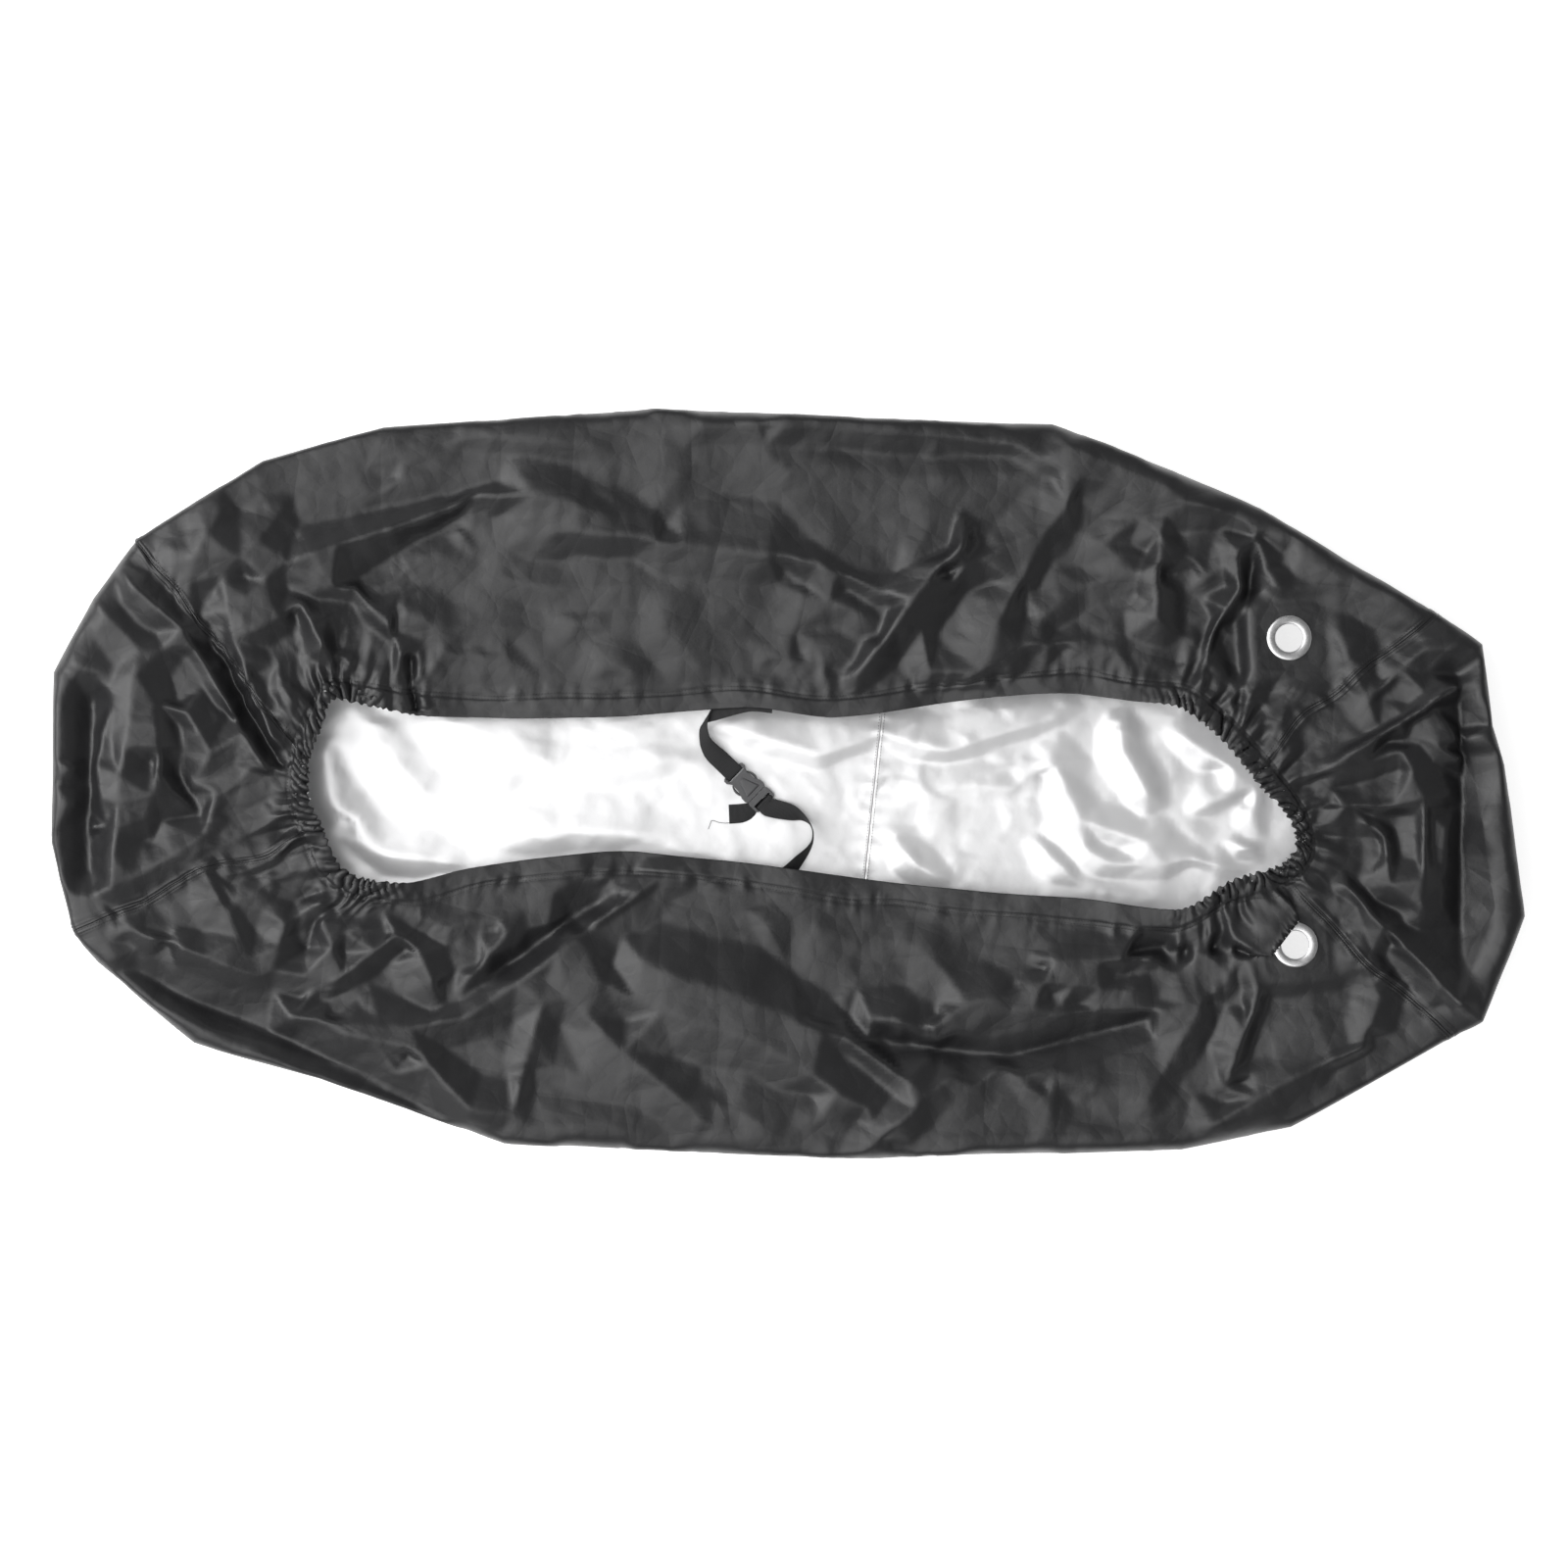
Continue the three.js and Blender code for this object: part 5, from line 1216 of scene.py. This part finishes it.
def straps():
    """Both straps from row to row: the upper one from its hem round the socket's bar, the lower
    one from its hem, doubled over, round the plug's bar and on as the loose tail."""
    ribbon("strap_upper", [
        under_hem("side_upper", 7.25, 6.5), under_hem("side_upper", 7, 6.5),
        strap_row(-86, 96, 38, 84, 4), strap_row(-102, 88, 34, 62, 30),
        strap_row(-108, 74, 27, 40, 58), strap_row(-106, 56, 20, 38, 50),
        strap_row(-98, 43, 14, 42, 26), on_buckle(-24, 10.4),
        on_buckle(-10, BAR_TOP - 0.3), on_buckle(-3, BAR_TOP), on_buckle(1.2, BAR_TOP - 0.4),
        on_buckle(2.5, BAR_TOP - 3), on_buckle(2.5, FLOOR_LAY + 2.6),
        on_buckle(1.2, FLOOR_LAY + 0.4), on_buckle(-3, FLOOR_LAY), on_buckle(-20, FLOOR_LAY),
    ])
    ribbon("strap_lower", [
        out_of_hem("side_lower", 27.76, 16), strap_row(-3, -119, 35, 158, 24),
        strap_row(6, -110.5, 32.5, 142, 46), strap_row(17, -98, 30.5, 138, 60),
        strap_row(27, -86.5, 28, 134, 74), strap_row(33.5, -75, 26, 128, 84),
        strap_row(34.5, -62, 23.5, 118, 87), strap_row(30, -51, 20.5, 100, 84),
        strap_row(20, -42, 17.5, 84, 66), strap_row(6, -37, 15, 78, 34),
        on_buckle(64, BAR_TOP + 0.6, 18), on_buckle(57, BAR_TOP, 2),
        on_buckle(53.2, BAR_TOP - 0.4), on_buckle(51.6, BAR_TOP - 3),
        on_buckle(51.6, FLOOR_LAY + 2.4), on_buckle(50.4, FLOOR_LAY + 0.3, 2),
        strap_row(-33.5, -28, FLOOR_LAY, 58, 0), strap_row(-43, -34, FLOOR_LAY, 72, 0),
        strap_row(-57, -38, FLOOR_LAY, 86, 0), strap_row(-75, -39.5, FLOOR_LAY, 92, 0),
    ])


def moulded(node):
    """The frame's buckle part with its points merged and its edges rounded."""
    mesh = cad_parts[node].data.copy()
    build = bmesh.new()
    build.from_mesh(mesh)
    bmesh.ops.remove_doubles(build, verts=build.verts, dist=0.01 * MM)
    bmesh.ops.dissolve_limit(build, angle_limit=math.radians(1), verts=build.verts,
                             edges=build.edges)
    build.to_mesh(mesh)
    build.free()
    mesh.materials.clear()
    mesh.materials.append(MATERIALS["plastic"])
    piece = installed(node + "_moulding", mesh)
    bevel = piece.modifiers.new("edges", "BEVEL")
    bevel.width = 0.5 * MM
    bevel.segments = 2
    bevel.limit_method = "ANGLE"
    bevel.angle_limit = math.radians(38)
    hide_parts(node)


def in_buckle(x, y, z):
    """Points from arrays in the buckle's own frame."""
    turn_x, turn_y = math.cos(BUCKLE_TURN), math.sin(BUCKLE_TURN)
    return np.stack([BUCKLE_X + x * turn_x - y * turn_y,
                     BUCKLE_Y + x * turn_y + y * turn_x, z], axis=-1)


def thumb_panel():
    """The raised panel on the socket: a low pillow over a plan that widens from 3 to 12.5 mm half
    width, with its rim sunk in the socket."""
    columns, rows = 25, 21
    s, t = np.meshgrid(np.linspace(0, 1, columns), np.linspace(-1, 1, rows), indexing="ij")
    x, y = mix(10.5, 34.5, s), t * mix(3.0, 12.5, s)
    edge = smooth((1 - np.abs(t)) / 0.2) * smooth(s / 0.12) * smooth((1 - s) / 0.06)
    z = BUCKLE_BOTTOM + BUCKLE_HEIGHT - 0.5 + 1.9 * edge + 0.5 * (1 - t * t) * edge
    piece = new_piece("socket_thumb_panel", in_buckle(x, y, z), grid_faces(columns, rows),
                      ["plastic"])
    thicken(piece, 0.6)


def spring_arms():
    """The plug's two arms, bowed out of the socket's windows: a rounded bar that thins at its
    ends, swept along a shallow arc and closed by a flat cap at either end."""
    rings, corners = 15, 12
    t = np.linspace(0, 1, rings)[:, None]
    angle = np.linspace(0, 2 * math.pi, corners, endpoint=False)[None, :]
    thick = np.sin(math.pi * mix(0.03, 0.97, t)) ** 0.3
    out = 12.6 + 3.6 * np.sin(math.pi * t) ** 0.7 + 1.6 * np.cos(angle) * thick
    x = 9.5 + 20 * t + 0 * angle
    z = BUCKLE_BOTTOM + BUCKLE_HEIGHT / 2 + 3.2 * np.sin(angle) * thick
    index = np.arange(rings * corners).reshape(rings, corners)
    for side, name in ((1, "plug_arm_upper"), (-1, "plug_arm_lower")):
        after = np.roll(index, -side, axis=1)
        faces = np.stack([index[:-1], index[1:], after[1:], after[:-1]], axis=-1).reshape(-1, 4)
        first, last = index[0, ::side], index[-1, ::-side]
        ends = [ring[[0, k, k + 1, k + 2]]
                for ring in (first, last) for k in range(1, corners - 2, 2)]
        new_piece(name, in_buckle(x, side * out, z), np.concatenate([faces, ends]), ["plastic"])


def loose_thread():
    """The thread end that hangs out of the tail's corner, as a line for the sewing to follow."""
    path = np.array([(-73, -50.5, 3.2), (-80, -51.2, 3.6), (-88, -50.2, 4.0), (-95, -47.8, 4.0),
                     (-98, -48, 3.8), (-99.5, -52, 3.5), (-102, -59, 3.2)], float)
    return path, np.tile((0.0, 0.0, 1.0), (len(path), 1))


# Materials

class Value:
    """A socket that takes part in sums: each operator adds its Math node."""

    def __init__(self, nodes, socket):
        self.nodes, self.socket = nodes, socket

    def maths(self, operation, first, second):
        return self.nodes.add("ShaderNodeMath", {"operation": operation}, {0: first, 1: second})[0]

    def __add__(self, other):
        return self.maths("ADD", self, other)

    def __mul__(self, other):
        return self.maths("MULTIPLY", self, other)

    def __sub__(self, other):
        return self.maths("SUBTRACT", self, other)

    def __rsub__(self, other):
        return self.maths("SUBTRACT", other, self)

    __radd__, __rmul__ = __add__, __mul__


class Nodes:
    """The node tree of one material."""

    def __init__(self, name):
        self.material = bpy.data.materials.new(name)
        self.material.use_nodes = True
        self.tree = self.material.node_tree
        self.tree.nodes.clear()

    def add(self, kind, settings=(), values=()):
        """A node of a kind, with its settings, then the values or links of its sockets, by name
        or number. It gives the node's outputs, ready for sums."""
        node = self.tree.nodes.new(kind)
        for key, value in dict(settings).items():
            if key == "stops":
                ramp = node.color_ramp.elements
                while len(ramp) < len(value):
                    ramp.new(0.5)
                for stop, (position, colour) in zip(ramp, value):
                    stop.position, stop.color = position, colour
            else:
                setattr(node, key, value)
        for key, value in dict(values).items():
            if isinstance(value, Value):
                self.tree.links.new(value.socket, node.inputs[key])
            else:
                node.inputs[key].default_value = value
        return [Value(self, out) for out in node.outputs if out.enabled]

    def shader(self, values):
        """The material's one Principled shader, joined to its output."""
        (result,) = self.add("ShaderNodeBsdfPrincipled", {}, values)
        self.add("ShaderNodeOutputMaterial", {}, {"Surface": result})
        return self.material

    def place(self):
        """A place on the piece, in its own coordinates."""
        _, _, _, place, *_ = self.add("ShaderNodeTexCoord")
        return place

    def noise(self, vector, scale, detail=3, roughness=0.5):
        """Soft clouds between 0 and 1."""
        return self.add("ShaderNodeTexNoise", {}, {
            "Vector": vector, "Scale": scale, "Detail": detail, "Roughness": roughness})[0]

    def facets(self, vector, scale):
        """Flat facets with straight creases between them, seen from above: the distance to the
        second nearest of many scattered points, less the distance to the nearest."""
        near, far = (self.add(
            "ShaderNodeTexVoronoi", {"voronoi_dimensions": "2D", "feature": feature},
            {"Vector": vector, "Scale": scale, "Randomness": 1.0})[0] for feature in ("F1", "F2"))
        return far - near

    def colours(self, factor, dark, light):
        """From the dark colour where the factor is 0 to the light one where it is 1."""
        stops = [(0, (*dark, 1)), (1, (*light, 1))]
        return self.add("ShaderNodeValToRGB", {"stops": stops}, {"Fac": factor})[0]

    def bump(self, height, strength, distance):
        """A normal that follows heights, in shares of a distance in metres."""
        return self.add("ShaderNodeBump", {}, {
            "Height": height, "Strength": strength, "Distance": distance})[0]


def taffeta():
    """Black coated taffeta: a low sheen that varies in soft clouds, with fine creases in bump."""
    n = Nodes("black taffeta")
    at = n.place()
    cloud = n.noise(at, 9, 3)
    crinkle = 0.3 * n.noise(at, 95, 4, 0.6) + 2.4 * n.facets(at, 11) + 0.6 * n.facets(at, 31)
    colour = n.colours(cloud, (0.012, 0.012, 0.013), (0.018, 0.018, 0.0195))
    return n.shader({
        "Base Color": colour, "Roughness": 0.38 + 0.1 * n.noise(at, 26, 2),
        "Specular IOR Level": 0.6, "Normal": n.bump(crinkle, 1.0, 0.001),
    })


def silver():
    """Silver coating: pale, half metallic and faintly creased."""
    n = Nodes("silver coating")
    at = n.place()
    colour = n.colours(n.noise(at, 7, 3), (0.89, 0.89, 0.9), (0.95, 0.95, 0.955))
    return n.shader({
        "Base Color": colour, "Metallic": 0.38, "Roughness": 0.27 + 0.08 * n.noise(at, 30, 2),
        "Normal": n.bump(n.noise(at, 60, 2), 0.25, 0.001),
    })


def webbing():
    """Black ribbed webbing: fine ribs across in the bump, from its own map, with painted shade
    between ribs.
    """
    n = Nodes("ribbed webbing")
    (along,) = n.add("ShaderNodeUVMap", {"uv_map": "cloth"})
    _, rib = n.add("ShaderNodeTexWave", {"wave_type": "BANDS", "bands_direction": "X"},
                   {"Vector": along, "Scale": 210.0, "Distortion": 0.4, "Detail": 1.0})
    # Painted shade: the colour follows the ribs' heights, darker in the grooves between them.
    colour = n.colours(rib, (0.012, 0.012, 0.0125), (0.055, 0.055, 0.057))
    return n.shader({"Base Color": colour, "Roughness": 0.78, "Specular IOR Level": 0.35,
                     "Normal": n.bump(rib, 0.8, 0.0006)})


def plating():
    """Bright nickel plate with faint handling marks."""
    n = Nodes("bright plate")
    mark = n.noise(n.place(), 160, 3)
    return n.shader({"Base Color": n.colours(mark, (0.86, 0.86, 0.87), (0.95, 0.95, 0.955)),
                     "Metallic": 1.0, "Roughness": 0.2 + 0.1 * mark})


def plastic():
    """Satin moulded plastic with a fine spark texture."""
    n = Nodes("moulded plastic")
    at = n.place()
    grain = n.noise(at, 1400, 2)
    colour = n.colours(n.noise(at, 60, 2), (0.07, 0.07, 0.073), (0.1, 0.1, 0.104))
    return n.shader({"Base Color": colour, "Roughness": 0.4 + 0.12 * grain,
                     "Normal": n.bump(grain, 0.3, 0.0003)})


def thread(name, dark, light):
    """Polyester thread, a little darker in the lay of its plies."""
    n = Nodes(name)
    ply = n.noise(n.place(), 900, 1)
    return n.shader({"Base Color": n.colours(ply, (dark,) * 3, (light,) * 3), "Roughness": 0.7})


def paper():
    """The plain pale floor, lifted by a little light of its own."""
    n = Nodes("pale floor")
    colour = n.colours(n.noise(n.place(), 0.5, 1), (0.9, 0.9, 0.9), (0.92, 0.92, 0.92))
    return n.shader({"Base Color": colour, "Roughness": 0.9, "Emission Color": (1, 1, 1, 1),
                     "Emission Strength": 0.75})


MATERIALS = {
    "taffeta": taffeta(), "silver": silver(), "webbing": webbing(), "plating": plating(),
    "plastic": plastic(), "thread": thread("black thread", 0.008, 0.022),
    "pale thread": thread("pale grey thread", 0.06, 0.14),
}


# Studio, in metres

CAMERA_X, CAMERA_HEIGHT = -0.0032, 6.045
LENS, SENSOR = 106.3, 36
FLOOR_REACH = 60.0
DAYLIGHT = 0.17  # strength of the even white surroundings
# Soft lights: name, place, what it points at, size and radiance
LIGHTS = [
    ("overhead", (-2.2, -0.9, 4.2), (-0.6, -0.3, 0), (6.5, 6.5), 1.08),
    ("left", (-2.7, -0.6, 3.9), (-0.3, -0.1, 0), (4, 5), 1.1),
    ("key", (-3.4, 1.0, 2.5), (0, 0, 0), (3.0, 2.4), 3.4),
    ("right wash", (7, 0, 1.7), (0, 0, 0.2), (10, 3), 0.5),
    ("upper wash", (0, 7, 1.7), (0, 0, 0.2), (10, 3), 0.5),
    ("lower wash", (0, -7, 1.7), (0, 0, 0.2), (10, 3), 0.5),
]


def camera():
    """The camera, straight above the cover."""
    data = bpy.data.cameras.new("camera")
    data.lens, data.sensor_width = LENS, SENSOR
    data.clip_start, data.clip_end = 0.1, FLOOR_REACH
    view = bpy.data.objects.new("camera", data)
    view.location = (CAMERA_X, 0, CAMERA_HEIGHT)
    bpy.context.scene.collection.objects.link(view)
    bpy.context.scene.camera = view


def soft_light(name, place_at, aim, size, radiance):
    """A rectangular light that the camera doesn't see."""
    data = bpy.data.lights.new(name, "AREA")
    data.shape, data.size, data.size_y = "RECTANGLE", size[0], size[1]
    data.energy = radiance * math.pi * size[0] * size[1]
    lamp = bpy.data.objects.new(name, data)
    lamp.location = place_at
    lamp.rotation_euler = (Vector(aim) - Vector(place_at)).to_track_quat("-Z", "Y").to_euler()
    lamp.visible_camera = False
    bpy.context.scene.collection.objects.link(lamp)


def studio():
    """White surroundings, the soft lights and a wide pale floor."""
    world = bpy.data.worlds.new("studio")
    world.use_nodes = True
    background = world.node_tree.nodes["Background"].inputs
    background["Color"].default_value = (1, 1, 1, 1)
    background["Strength"].default_value = DAYLIGHT
    bpy.context.scene.world = world
    for light in LIGHTS:
        soft_light(*light)
    mesh = bpy.data.meshes.new("floor")
    r = FLOOR_REACH
    mesh.from_pydata([(-r, -r, 0), (r, -r, 0), (r, r, 0), (-r, r, 0)], [], [(0, 1, 2, 3)])
    mesh.materials.append(paper())
    floor = bpy.data.objects.new("floor", mesh)
    bpy.context.scene.collection.objects.link(floor)
    bpy.context.scene.view_settings.view_transform = "Standard"


camera()
studio()

# Each panel's cloth
for panel in PANELS:
    piece = cloth_piece(panel)

for which in EYELETS:
    eyelet(which)
    patch(which)
straps()
for node in ("buckle_socket", "buckle_plug"):
    moulded(node)

sewn = [hem_line(panel, inset) for panel in PANELS for inset in HEM_LINES]
sewn += [hem_bar("side_upper", at) for at in HEM_BARS]
sewn += [seam_line(panel, step, away) for panel in ("side_upper", "side_lower")
         for step in (1, -1) for away in SEAM_LINES]
sewing("hem_and_seam_sewing", sewn, "thread")
thumb_panel()
spring_arms()
sewing("tail_thread", [loose_thread()], "thread", stitch=THREAD_TWIST)
sewing("cross_seam_sewing", [cross_line(side * CROSS_STITCH) for side in (-1, 1)], "pale thread")
